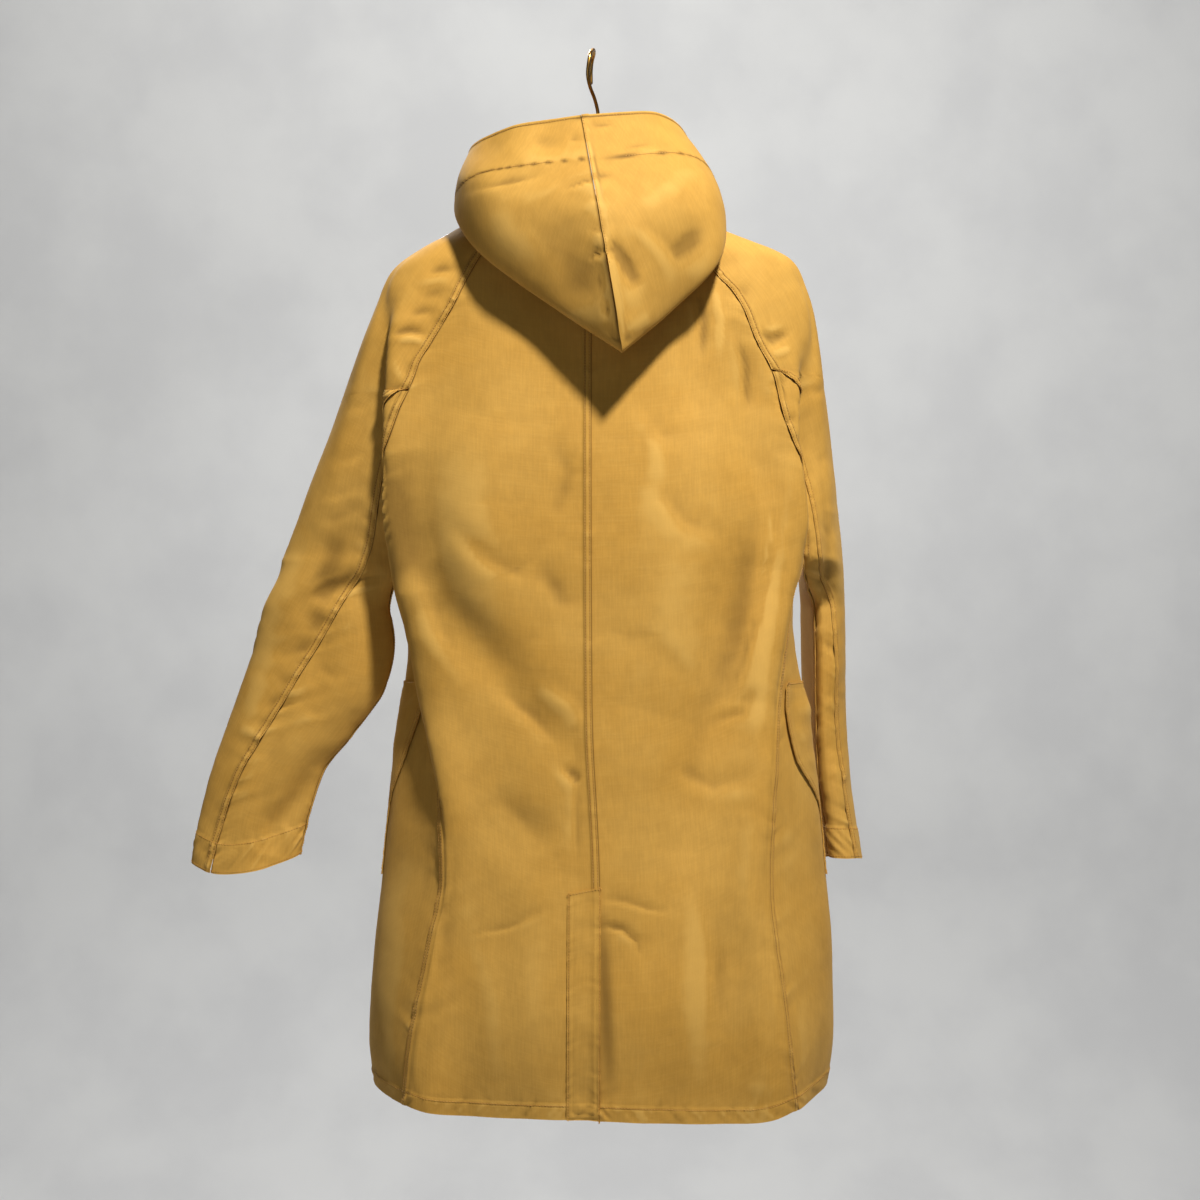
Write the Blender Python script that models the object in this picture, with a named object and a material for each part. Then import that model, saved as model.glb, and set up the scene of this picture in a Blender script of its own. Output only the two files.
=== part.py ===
"""A hooded cotton parka hanging from a wooden hanger with a brass wire hook.

The coat is seen from its back along +Y, so the wearer's left is at -X and the coat's front faces +Y.
The origin is the inner top of the hook, where it hangs. Sizes in the tables are millimetres.

Every cloth panel is a patch of one skin. The skin is a stack of level sections, and a section runs along a
"round" from 0 at the centre back to 12 at the centre front: 0 to 4 is the back, 4 to 8 the sleeve with its
outer crest at 6, and 8 to 12 the front. Above the underarm the three stretches join. Below it the sleeve is
a closed ring, and the back and the front meet at the side seam.
"""

import math

import bmesh
import bpy
import numpy as np
from mathutils import Vector

MM = 0.001
CLOTH = 1.1            # wall of a panel: two layers at a felled seam
GAP = 0.3              # between neighbours at a seam
DRAWN_IN = GAP * 0.6   # how far each panel's edge stays back from the seam's line
MEETING_DRAW, MEETING_REACH = 0.5, 26.0    # and how much more near the underarm, where four panels meet
PATCH = 1.6            # wall of a patch that lies on a panel
NECK_Z, COLLAR_Z = -190.0, -300.0      # rows between these two follow the neck seam
UNDERARM_Z = -556.0
MEETING_Z = UNDERARM_Z - 6             # where four panels come together under the arm
HEM_FROM_Z, HEM_Z = -1050.0, -1150.0   # rows between these two follow the hem
CUFF_FROM_Z, CUFF_Z = -830.0, -900.0   # rows between these two follow the cuff's edge
SIDE_SEAM = 4 - 1e-6                   # the last round of the back, just short of the sleeve
SLEEVE_SEAM = 8 - 1e-6                 # the last round of the sleeve, just short of the front
RING_FROM_Z, SLEEVE_RING_Z = UNDERARM_Z + 6, -612.0    # between these the sleeve becomes a plain ring
BODY_CLOSE_Z = -530.0                  # the body closes into a ring of its own from here to the underarm
OVAL_POWERS = (2.4, 2.1)               # how square a body section is, across and deep
CENTRE_BACK_X = ((-1160, 8), (-914, 9), (-708, 1), (-450, 0), (-160, 0))
HOOK_WIRE = 3.9
BUTTON_COUNT, BUTTON_DIAMETER, BUTTON_THICK = 5, 19.0, 3.6
BUTTON_TOP_Z, BUTTON_PITCH = -320.0, 165.0
BUTTON_SIDES, BUTTON_BEVEL = 20, 0.7
FRONT_FOLD_SHARE = 0.8                 # how strongly the back's folds show again on the front


class Table:
    """Rows of named columns down the coat. A column is read at any height by a curve with no overshoot."""

    def __init__(self, names, rows):
        cells = np.array(sorted(rows), float)
        self.columns = dict(zip(names.split(), cells.T))
        self.z = self.columns["z"]

    def read(self, name, z):
        return smooth(self.z, self.columns[name], z)


def smooth(at, values, x):
    """A monotone cubic through the values, held level past both ends."""
    x = np.clip(x, at[0], at[-1])
    step = np.diff(at)
    rise = np.diff(values) / step
    slope = np.zeros(len(values))
    slope[0], slope[-1] = rise[0], rise[-1]
    for i in range(1, len(values) - 1):
        if rise[i - 1] * rise[i] > 0:
            near, far = 2 * step[i] + step[i - 1], step[i] + 2 * step[i - 1]
            slope[i] = (near + far) / (near / rise[i - 1] + far / rise[i])
    i = np.clip(np.searchsorted(at, x, side="right") - 1, 0, len(step) - 1)
    t = (x - at[i]) / step[i]
    return hermite(values[i], values[i + 1], slope[i] * step[i], slope[i + 1] * step[i], t)


def hermite(start, end, leave, arrive, t):
    return ((1 + 2 * t) * (1 - t) ** 2 * start + t * (1 - t) ** 2 * leave
            + t * t * (3 - 2 * t) * end + t * t * (t - 1) * arrive)


def ease(x, low, high):
    """0 at low, 1 at high, level at both."""
    t = np.clip((x - low) / (high - low), 0.0, 1.0)
    return t * t * (3 - 2 * t)


def mix(a, b, share):
    return a + (b - a) * share


# How deep the coat hangs in front of and behind its hanger.
DEPTH = Table("z back front", [
    (-160, 50, 62), (-190, 57, 72), (-250, 70, 88), (-300, 79, 96), (-380, 90, 100), (-450, 99, 100),
    (-600, 104, 104), (-800, 110, 108), (-950, 119, 113), (-1050, 125, 117), (-1160, 119, 113)])

# The ridge of the shoulder and on down the outer crest of the upper arm.
CREST = {
    "left": Table("z x y", [
        (-160, 70, 4), (-171, 93, 4), (-180, 118, 5), (-190, 145, 5), (-201, 163, 5), (-211, 181, 5),
        (-223, 199, 5), (-232, 211, 5), (-243, 221, 5), (-256, 228, 5), (-272, 234, 6), (-317, 251, 8),
        (-383, 275, 10), (-449, 299, 12), (-515, 323, 16), (-560, 341, 20)]),
    "right": Table("z x y", [
        (-160, 70, 4), (-171, 93, 4), (-181, 118, 5), (-191, 138, 5), (-199, 154, 5), (-207, 174, 5),
        (-218, 201, 5), (-229, 220, 5), (-241, 229, 7), (-256, 235, 10), (-278, 243, 14), (-313, 251, 20),
        (-355, 259, 28), (-434, 271, 50), (-490, 278, 62), (-535, 283, 74), (-580, 286, 80)])}

# Each side of the body from the arm down: its half width, the back fold's edge, the crease or side seam
# behind it, how far back the upper arm stands, then the front crease and the front fold's edge.
SIDE_COLUMNS = "z wide edge_x edge_y seam_x seam_y arm_y fold_x fold_y front_x front_y"
SIDE = {
    "left": Table(SIDE_COLUMNS, [
        (-280, 224, 205, -48, 208, -38, -30, 206, 50, 198, 70),
        (-325, 226, 217, -52, 216, -37, -31, 214, 54, 202, 74),
        (-400, 229, 221, -58, 217, -39, -32, 216, 54, 205, 76),
        (-450, 230, 222, -60, 218, -39, -32, 216, 52, 205, 74),
        (-506, 230, 223, -60, 217, -33, -28, 214, 36, 206, 68),
        (-556, 224, 216, -58, 212, -12, -20, 212, -12, 214, 36),
        (-592, 214, 209, -55, 203, -14, -20, 203, -14, 209, 30),
        (-640, 206, 197, -52, 189, -22, -20, 189, -22, 205, 20),
        (-660, 205, 192, -52, 184, -26, -20, 184, -26, 204, 16),
        (-700, 207, 184, -55, 174, -33, -20, 174, -33, 207, 8),
        (-760, 214, 168, -76, 168, -57, -20, 168, -57, 214, 2),
        (-820, 220, 155, -90, 164, -77, -20, 164, -77, 220, 0),
        (-880, 227, 150, -98, 165, -87, -20, 165, -87, 227, 0),
        (-980, 238, 164, -104, 181, -92, -20, 181, -92, 238, 0),
        (-1035, 242, 172, -107, 191, -92, -20, 191, -92, 242, 0),
        (-1087, 243, 178, -107, 198, -90, -20, 198, -90, 243, 0),
        (-1160, 233, 182, -100, 202, -80, -20, 202, -80, 233, 0)]),
    "right": Table(SIDE_COLUMNS, [
        (-280, 232, 212, -40, 222, -26, -18, 216, 50, 200, 66),
        (-325, 232, 219, -44, 223, -26, -16, 216, 60, 202, 76),
        (-380, 233, 226, -47, 223, -27, -14, 216, 68, 202, 84),
        (-430, 233, 226, -50, 221, -27, -12, 214, 76, 203, 86),
        (-473, 237, 231, -50, 226, -29, -16, 217, 62, 208, 82),
        (-516, 240, 235, -48, 230, -32, -22, 224, 22, 218, 64),
        (-556, 234, 226, -52, 231, -26, -26, 231, -26, 229, 10),
        (-581, 227, 219, -57, 223, -42, -20, 223, -42, 223, 4),
        (-600, 223, 212, -61, 217, -49, -20, 217, -49, 220, 0),
        (-626, 222, 205, -67, 213, -52, -20, 213, -52, 220, -2),
        (-646, 224, 200, -71, 210, -55, -20, 210, -55, 222, -4),
        (-673, 228, 194, -76, 206, -60, -20, 206, -60, 226, -4),
        (-701, 234, 189, -81, 203, -65, -20, 203, -65, 232, -4),
        (-777, 244, 180, -91, 197, -78, -20, 197, -78, 243, 0),
        (-823, 250, 175, -95, 193, -83, -20, 193, -83, 250, 0),
        (-903, 258, 172, -102, 190, -90, -20, 190, -90, 258, 0),
        (-1000, 265, 180, -108, 200, -94, -20, 200, -94, 265, 0),
        (-1065, 266, 186, -109, 208, -94, -20, 208, -94, 266, 0),
        (-1160, 256, 198, -100, 220, -82, -20, 220, -82, 256, 0)])}

# The sleeve's ring below the underarm: its centre, half width across the coat, half depth and turn.
SLEEVE = {
    "left": Table("z x y across deep turn", [
        (-556, 278, 8, 64, 33, 0), (-600, 289, 16, 68, 34, 3), (-650, 293, 20, 79, 33, 5),
        (-700, 308, 22, 83, 33, 5), (-753, 336, 24, 73, 33, 4), (-793, 359, 24, 63, 32, 3),
        (-832, 371, 24, 61, 30, 2), (-867, 379, 24, 60, 28, 0), (-910, 385, 24, 60, 27, 0)]),
    "right": Table("z x y across deep turn", [
        (-556, 262, 74, 24, 48, 0), (-600, 263, 81, 25, 54, 0), (-650, 264, 85, 25, 60, 0),
        (-700, 265, 88, 25, 62, 0),
        (-800, 269, 90, 25, 60, 0), (-850, 275, 90, 25, 57, 0), (-910, 283, 90, 25, 55, 0)])}
SLEEVE_SEAM_TURN = {"left": 8.0, "right": 55.0}    # the underarm seam, in degrees round from the inner side

# Where the crease between the back and the sleeve starts below the shoulder's tip, and where it is full.
CREASE = {"left": (-245.0, -322.0), "right": (-285.0, -385.0)}

# The raglan seam down the back, its distance from the middle; below the last row it turns into the crease.
RAGLAN = {
    "left": Table("z x", [(-431, 217), (-394, 203), (-373, 193), (-346, 183), (-324, 169), (-301, 155),
                          (-271, 139), (-233, 119), (-187, 89)]),
    "right": Table("z x", [(-437, 221), (-399, 206), (-352, 193), (-324, 178), (-292, 165), (-270, 152),
                           (-254, 136), (-225, 115), (-187, 89)])}

# Heights and rounds of the raglan seam's run into the crease.
RAGLAN_END = ((UNDERARM_Z, -520.0, -482.0), (4.0, 3.95, 3.75))

# The seam down the back of the sleeve, as its round, where it has left the raglan seam.
ELBOW_SEAM = {
    "left": Table("z round", [(-905, 5.40), (-790, 5.20), (-680, 5.06), (-600, 4.74), (-545, 4.40),
                              (-450, 4.06), (-400, 3.20)]),
    "right": Table("z round", [(-905, 5.02), (-700, 4.92), (-556, 4.62), (-450, 4.22), (-385, 3.30)])}
ELBOW_SEAM_TOP = {"left": -377.0, "right": -356.0}

# Heights of the cut edges by round: the neck seam, the hem and the cuffs.
NECK_EDGE = ((0, -190), (2.1, -186), (3, -178), (4, -174), (6, -171), (8, -174), (9, -178), (10, -192),
             (11, -228), (12, -247))
HEM_EDGE = {"left": ((0, -1146), (2, -1146), (4, -1138), (8, -1138), (9, -1131), (12, -1140)),
            "right": ((0, -1148), (2, -1154), (4, -1144), (8, -1144), (9, -1131), (12, -1140))}
CUFF_EDGE = {"left": ((4, -884), (5.2, -905), (6, -894), (7.2, -892), (8, -884)),
             "right": ((4, -890), (5, -892), (6, -897), (7, -900), (8, -890))}

# The largest folds, on the side that faces -Y: a soft path, its half width and its height (a valley is < 0).
BACK_FOLDS = (
    # half, height, path as (x, z)
    (26, -7, ((-178, -545), (-158, -604), (-115, -655), (-68, -708), (-30, -760))),
    (34, 6, ((-200, -604), (-168, -700), (-145, -805), (-95, -862), (-65, -890))),
    (30, -5, ((155, -565), (142, -705), (108, -808), (85, -905), (70, -960))),
    (26, 6, ((190, -560), (178, -650), (168, -720))),
    (20, -4, ((115, -275), (112, -350), (116, -420))),
    (20, -5, ((160, -318), (172, -440), (196, -515))),
    (26, -5, ((-120, -818), (-50, -880))),
)
SLEEVE_FOLDS = {
    "left": ((16, -8, ((-310, -606), (-285, -594), (-250, -586), (-222, -566))),
             (15, -7, ((-298, -792), (-318, -818), (-345, -850), (-358, -890)))),
    "right": ((14, -5, ((268, -500), (262, -590))), (16, -4, ((280, -700), (272, -800))))}


# The hood, a row for each station from the throat (0) round the side to the centre back (6): its bag fold,
# the middle of what shows, and the edge of its opening.
HOOD_COLUMNS = "station fold_x fold_y fold_z mid_x mid_y mid_z edge_x edge_y edge_z"
HOOD = {
    "left": (HOOD_COLUMNS, [
        (0, -4, 93, -235, -6, 97, -229, -9, 101, -222),
        (1, -90, 69, -183, -92, 74, -170, -88, 74, -156),
        (2, -127, 34, -173, -134, 30, -157, -120, 34, -136),
        (3, -147, -18, -180, -144, -28, -146, -130, -24, -112),
        (4, -123, -82, -230, -112, -100, -172, -86, -74, -99),
        (5, -52, -108, -287, -55, -128, -196, -46, -88, -94),
        (6, 33, -132, -346, 12, -146, -222, -10, -95, -91)]),
    "right": (HOOD_COLUMNS, [
        (0, 4, 93, -235, 6, 97, -229, 9, 101, -222),
        (1, 90, 69, -183, 92, 74, -170, 86, 74, -154),
        (2, 126, 34, -179, 133, 30, -158, 110, 32, -128),
        (3, 143, -22, -186, 138, -30, -150, 100, -32, -94),
        (4, 136, -90, -245, 124, -96, -178, 70, -74, -84),
        (5, 88, -106, -297, 72, -132, -205, 32, -90, -87),
        (6, 33, -132, -346, 12, -146, -222, -10, -95, -91)])}
# How far the hood rises from the neck seam before it falls back, by station.
HOOD_STAND = ((0, 3), (1.5, 3), (2.5, 6), (3.2, 10), (4, 16), (5, 19), (6, 19))
# The station that meets each place of the neck seam, as a share of its length from the centre front.
HOOD_STATION = ((0, 0), (0.31, 1.2), (0.41, 1.7), (0.55, 2.55), (0.62, 3.05), (0.7, 3.7), (0.84, 5.0), (1, 6))
HOOD_RIBS = (0, 0.6, 1.1, 1.6, 2.1, 2.7, 3.4, 3.8, 4.15, 4.6, 5.3, 6)
HOOD_ABOVE_NECK, HOOD_FROM_FRONT = 0.7, 1.6    # clear of the panels, and of its other half at the throat
# How the hood rolls over the neck seam: outward distance and the share of its rise.
HOOD_ROLL = ((2, 0.7), (9, 1.0))

# The side pockets: their rear edge's distance from the side seam and the mouth's slope, by height.
POCKET = {
    "left": Table("z rear", [(-676, 6), (-704, 10), (-768, 45), (-834, 94), (-868, 104), (-904, 106)]),
    "right": Table("z rear", [(-676, 5), (-704, 6), (-768, 28), (-834, 94), (-868, 104), (-904, 106)])}
POCKET_FROM_CENTRE = 95.0              # the pocket's front edge, from the centre front
VENT_LEFT, VENT_RIGHT = 33.0, 2.0      # the vent strip's edges from the centre back seam
PLACKET_HALF = 29.0
HOOK_PATH = ((0, 17.9, -30), (0, 17.95, -16), (1, 15.5, -7), (3, 9, -0.6), (3, 0, 1.95), (1, -9, -0.6),
             (-1, -15.5, -7), (-2.5, -17.95, -16), (-3.5, -17, -29), (-1, -12.5, -41), (4, -6, -53),
             (7.4, -1.5, -66), (8, 0, -82), (8, 3, -110), (8, 5, -149.4))
HOOK_STEPS = 45                        # points along the bent wire

# The hanger's bar: its section as (y, z) under its top line, that line between the shoulders, the rows of the
# sleeves that it runs under from the tip inwards, and how slim it is at its tips.
BAR_OUTLINE = ((0, 0), (4, -2.2), (7, -8), (7, -17), (4, -22.5), (0, -24), (-4, -22.5), (-7, -17), (-7, -8),
               (-4, -2.2))
BAR_MIDDLE = ((-62, 5, -163), (-30, 5, -153), (8, 5, -150), (46, 5, -153), (72, 5, -163))
BAR_ROWS = (3, 2, 1, 0)
BAR_TIP_SHARE, BAR_CLEARANCE = 0.55, 0.4


def folds(table, x, z):
    """The height of the folds at places given as seen along +Y."""
    height = np.zeros(np.broadcast(x, z).shape)
    for half, depth, path in table:
        points = np.array(path, float)
        lengths = np.hypot(*np.diff(points, axis=0).T)
        before = np.concatenate([[0], np.cumsum(lengths)])
        best = np.full(height.shape, 1e9)
        along = np.zeros(height.shape)
        for start, end, length, passed in zip(points, points[1:], lengths, before):
            run = (end - start) / length
            t = np.clip((x - start[0]) * run[0] + (z - start[1]) * run[1], 0, length)
            away = np.hypot(x - start[0] - t * run[0], z - start[1] - t * run[1])
            along = np.where(away < best, (passed + t) / before[-1], along)
            best = np.minimum(best, away)
        height += depth * np.exp(-(best / half) ** 2) * np.sin(np.pi * np.clip(along, 0.06, 0.94)) ** 0.6
    return height


def oval_y(x, wide, deep):
    """How far a body section stands out from its middle line at x."""
    across, depth = OVAL_POWERS
    return deep * np.maximum(1 - np.clip(x / wide, 0, 1) ** across, 0) ** (1 / depth)


def thread(points, leave, arrive, t):
    """A smooth curve through the points, read at t from 0 to the last point's number."""
    gaps = [np.sqrt(np.linalg.norm(b - a, axis=0) + 1e-6) for a, b in zip(points, points[1:])]
    slopes = [leave / gaps[0]]
    for i in range(1, len(points) - 1):
        before = (points[i] - points[i - 1]) / gaps[i - 1]
        after = (points[i + 1] - points[i]) / gaps[i]
        slopes.append((before * gaps[i] + after * gaps[i - 1]) / (gaps[i - 1] + gaps[i]))
    slopes.append(arrive / gaps[-1])
    out = np.zeros_like(points[0])
    part = np.clip(np.floor(t), 0, len(gaps) - 1).astype(int)
    for i, gap in enumerate(gaps):
        piece = hermite(points[i], points[i + 1], slopes[i] * gap, slopes[i + 1] * gap, t - i)
        out = np.where(part == i, piece, out)
    return out


def controls(side, z):
    """The points that a section passes through: the back, the sleeve and the front, each as (x, y)."""
    rows, crest, ring = SIDE[side], CREST[side], SLEEVE[side]
    back, front = DEPTH.read("back", z), DEPTH.read("front", z)
    top = np.array([crest.read("x", z), crest.read("y", z)])

    def shoulder(share, deep):
        x = top[0] * share
        return np.array([x, top[1] + np.sign(deep) * oval_y(x, top[0], abs(deep - top[1]))])

    start, full = CREASE[side]
    arm = 1 - ease(z, full, start)

    def blend(share, deep, x, y):
        return mix(shoulder(share, deep), np.array([x, y]), arm)

    edge = blend(0.86, -back, rows.read("edge_x", z), rows.read("edge_y", z))
    seam = blend(0.955, -back, rows.read("seam_x", z), rows.read("seam_y", z))
    fold = blend(0.955, front, rows.read("fold_x", z), rows.read("fold_y", z))
    rim = blend(0.86, front, rows.read("front_x", z), rows.read("front_y", z))
    wide = mix(top[0], rows.read("wide", z), arm)

    def body(share, reach, deep):
        x = reach[0] * share
        return np.array([x, np.sign(deep) * oval_y(x, wide, abs(deep))])

    backs = [body(0, edge, -back), body(0.42, edge, -back), body(0.78, edge, -back), edge, seam]
    fronts = [fold, rim, body(0.78, rim, front), body(0.42, rim, front), body(0, rim, front)]
    arm_y = mix(top[1] - (top[1] + back) * 0.2, rows.read("arm_y", z), arm)
    back_arm = [np.array([mix(seam[0], top[0], 0.36), arm_y]),
                np.array([mix(seam[0], top[0], 0.76), mix(arm_y, top[1], 0.24)])]
    front_y = mix(top[1] + (front - top[1]) * 0.2, np.maximum(fold[1], top[1] + 44), arm)
    front_arm = [np.array([mix(fold[0], top[0], 0.76), mix(front_y, top[1], 0.24)]),
                 np.array([mix(fold[0], top[0], 0.36), front_y])]
    sleeve = [seam] + back_arm + [top] + front_arm + [fold]
    ringed = ease(-z, -UNDERARM_Z - 6, -SLEEVE_RING_Z)
    seam_turn = SLEEVE_SEAM_TURN[side]
    turns = [mix(seam_turn, 180, i / 3) for i in range(4)]
    turns += [mix(180, 360 + seam_turn, i / 3) for i in (1, 2, 3)]
    turned = np.radians(ring.read("turn", z))
    for i, degrees in enumerate(turns):
        across = -ring.read("across", z) * math.cos(math.radians(degrees))
        deep = -ring.read("deep", z) * math.sin(math.radians(degrees))
        on_ring = np.array([ring.read("x", z) + across * np.cos(turned) - deep * np.sin(turned),
                            ring.read("y", z) + across * np.sin(turned) + deep * np.cos(turned)])
        sleeve[i] = mix(sleeve[i], on_ring, ringed)
    return backs, sleeve, fronts


def settle(part, z, around):
    """Below the underarm the body and the sleeve are rings, so a round past the seam comes back in."""
    if part == "body":
        looped = np.where((around > 4) & (around < 6), around + 4,
                          np.where((around >= 6) & (around < 8), around - 4, around))
    else:
        looped = np.where(around < 4, around + 4, np.where(around > 8, around - 4, around))
    return np.where(z < UNDERARM_Z + 1, looped, np.clip(around, 0, 12))


def section(side, z, around, part):
    """Outward distance and depth of the bare skin, with no folds."""
    around = settle(part, z, around)
    backs, sleeve, fronts = controls(side, z)
    start, full = CREASE[side]
    soft = ease(z, full, start)                        # 1 where the sleeve flows into the back
    closed = ease(-z, -BODY_CLOSE_Z, -UNDERARM_Z)      # 1 where the body is a ring of its own
    into_seam, out_of_seam = backs[4] - backs[3], sleeve[1] - sleeve[0]
    flow = (sleeve[1] - backs[3]) / 2
    level = np.array([1.0, 0.0]).reshape((2,) + (1,) * np.ndim(z))
    front_flow = (fronts[1] - sleeve[5]) / 2 * mix(level, 1.0, soft)
    ring_flow = (fronts[1] - backs[3]) / 2
    sleeve_flow = (sleeve[1] - sleeve[5]) / 2
    back_end = mix(mix(into_seam, flow, soft), ring_flow, closed)
    front_start = mix(front_flow, ring_flow, closed)
    ringed = ease(-z, -UNDERARM_Z - 6, -SLEEVE_RING_Z)
    sleeve_start = mix(mix(mix(out_of_seam, flow, soft), out_of_seam, closed), sleeve_flow, ringed)
    sleeve_end = mix(mix(front_flow, sleeve[6] - sleeve[5], closed), sleeve_flow, ringed)
    back_curve = thread(backs, level * backs[1][0], back_end, np.clip(around, 0, 4))
    sleeve_curve = thread(sleeve, sleeve_start, sleeve_end, np.clip(around - 4, 0, 4) * 1.5)
    front_curve = thread(fronts, front_start, -level * fronts[3][0], np.clip(around - 8, 0, 4))
    return np.where(around < 4, back_curve, np.where(around < 8, sleeve_curve, front_curve))


def skin(side, z, around, part):
    """Points of the outer skin with its folds, in millimetres. The part is the body or the sleeve."""
    z, around = np.broadcast_arrays(np.asarray(z, float), np.asarray(around, float))
    around = settle(part, z, around)
    sign = -1.0 if side == "left" else 1.0
    out, y = section(side, z, around, part)
    centre = smooth(np.array(CENTRE_BACK_X, float)[:, 0], np.array(CENTRE_BACK_X, float)[:, 1], z)
    wide = SIDE[side].read("wide", z)
    x = sign * out + centre * np.clip(1 - out / wide, 0, 1)
    sleeve_part = ease(around, 4.0, 4.4) * (1 - ease(around, 5.9, 6.4))
    body_part = (1 - ease(around, 3.3, 4.0)) * ease(-z, 240, 300) * (1 - ease(-z, 1080, 1130))
    height = folds(BACK_FOLDS, x, z) * body_part + folds(SLEEVE_FOLDS[side], x, z) * sleeve_part
    mirrored = ease(around, 8.6, 9.4) * ease(-z, 300, 380) * (1 - ease(-z, 1080, 1130))
    height = height + FRONT_FOLD_SHARE * folds(BACK_FOLDS, -x, z) * mirrored
    nudge = 0.02
    run = section(side, z, around + nudge, part) - section(side, z, around - nudge, part)
    height = height / (np.hypot(run[0], run[1]) + 1e-9)
    return np.stack([x + sign * run[1] * height, y - run[0] * height, z], axis=-1)


def raglan_rounds(side):
    """The raglan seam's round at each row of its table, found by halving."""
    heights = RAGLAN[side].z
    low, high = np.zeros(len(heights)), np.full(len(heights), 3.6)
    for _ in range(40):
        middle = (low + high) / 2
        short = section(side, heights, middle, "body")[0] < RAGLAN[side].columns["x"]
        low, high = np.where(short, middle, low), np.where(short, high, middle)
    return heights, (low + high) / 2


def seam_tables():
    """The rounds of the back raglan, front raglan and sleeve back seam down each side."""
    tables = {}
    for side in ("left", "right"):
        heights, rounds = raglan_rounds(side)
        back_z = np.concatenate([RAGLAN_END[0], heights])
        back = np.concatenate([RAGLAN_END[1], rounds])
        elbow_z = np.concatenate([ELBOW_SEAM[side].z, [ELBOW_SEAM_TOP[side]]])
        top_round = float(smooth(back_z, back, ELBOW_SEAM_TOP[side])) + 0.16
        elbow = np.concatenate([ELBOW_SEAM[side].columns["round"], [top_round]])
        tables[side] = {"back": (back_z, back), "front": (back_z, 12 - back), "elbow": (elbow_z, elbow)}
    return tables


SEAMS = seam_tables()


def seam(side, name, z):
    heights, rounds = SEAMS[side][name]
    return smooth(heights, rounds, z)


def by_round(edge, around):
    points = np.array(edge, float)
    return smooth(points[:, 0], points[:, 1], around)


def row_height(side, z, around):
    """The height of a row's point: rows near a cut edge follow that edge."""
    neck_edge, hem_edge = by_round(NECK_EDGE, around), by_round(HEM_EDGE[side], around)
    neck = COLLAR_Z + (z - COLLAR_Z) * (neck_edge - COLLAR_Z) / (NECK_Z - COLLAR_Z)
    hem = HEM_FROM_Z + (z - HEM_FROM_Z) * (hem_edge - HEM_FROM_Z) / (HEM_Z - HEM_FROM_Z)
    return np.where(z > COLLAR_Z, neck, np.where(z < HEM_FROM_Z, hem, z))


def cuff_height(side, z, around):
    edge = by_round(CUFF_EDGE[side], around)
    cuff = CUFF_FROM_Z + (z - CUFF_FROM_Z) * (edge - CUFF_FROM_Z) / (CUFF_Z - CUFF_FROM_Z)
    return np.where(z < CUFF_FROM_Z, cuff, row_height(side, z, around))


def seam_on_row(side, name, z, height_of):
    """The seam's round where it crosses a row."""
    around = seam(side, name, z)
    for _ in range(6):
        around = seam(side, name, height_of(side, z, around))
    return around


def spaced(side, part, z, first, last, columns, height_of, grade=None):
    """Rounds from first to last at even steps along the row, or at the shares that grade gives."""
    fine = np.linspace(first, last, 80)
    points = skin(side, height_of(side, z, fine), fine, part)
    length = np.concatenate([[0], np.cumsum(np.linalg.norm(np.diff(points, axis=0), axis=1))])
    shares = np.linspace(0, 1, columns + 1) if grade is None else grade
    return np.interp(shares * length[-1], length, fine)


def grid(side, part, heights, first, last, columns, height_of=row_height, grade=None):
    """Rounds and heights of a patch: a row for each height, from one seam to the other."""
    rounds = np.array([spaced(side, part, z, first(z), last(z), columns, height_of, grade) for z in heights])
    levels = height_of(side, np.array(heights)[:, None], rounds)
    return rounds, levels


def normals(side, part, levels, rounds):
    """Outward directions of the skin with its folds."""
    nudge_round, nudge_z = 0.03, 2.0
    ahead, behind = np.minimum(rounds + nudge_round, 12), np.maximum(rounds - nudge_round, 0)
    across = skin(side, levels, ahead, part) - skin(side, levels, behind, part)
    down = skin(side, levels - nudge_z, rounds, part) - skin(side, levels + nudge_z, rounds, part)
    normal = np.cross(down, across) if side == "right" else np.cross(across, down)
    return normal / (np.linalg.norm(normal, axis=-1, keepdims=True) + 1e-9)


def inset(points):
    """The same sheet with its edge drawn in by half of a seam's gap, and some more where four panels meet."""
    from_meeting = (points[..., 2:] - MEETING_Z) / MEETING_REACH
    half = DRAWN_IN + MEETING_DRAW * np.exp(-from_meeting ** 2)
    points = points.copy()
    for edge, inner in ((np.s_[0, :], np.s_[1, :]), (np.s_[-1, :], np.s_[-2, :]),
                        (np.s_[:, 0], np.s_[:, 1]), (np.s_[:, -1], np.s_[:, -2])):
        step = points[inner] - points[edge]
        size = np.linalg.norm(step, axis=-1, keepdims=True) + 1e-9
        points[edge] = points[edge] + step / size * np.minimum(half[edge], size * 0.4)
    return points


def unit(vectors):
    return vectors / (np.linalg.norm(vectors, axis=-1, keepdims=True) + 1e-9)


def runs(points, axis):
    """The direction of the grid's lines at each point: the mean of the steps before and after it."""
    steps = np.moveaxis(unit(np.diff(points, axis=axis)), axis, 0)
    return np.moveaxis(np.concatenate([steps[:1], steps]) + np.concatenate([steps, steps[-1:]]), 0, axis)


def grid_facing(points, outward, at=(0, 0)):
    """The grid's own directions; outward is a direction at one of its points that tells the side."""
    facing = unit(np.cross(runs(points, 0), runs(points, 1)))
    return facing if np.dot(facing[at], outward) > 0 else -facing


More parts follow.
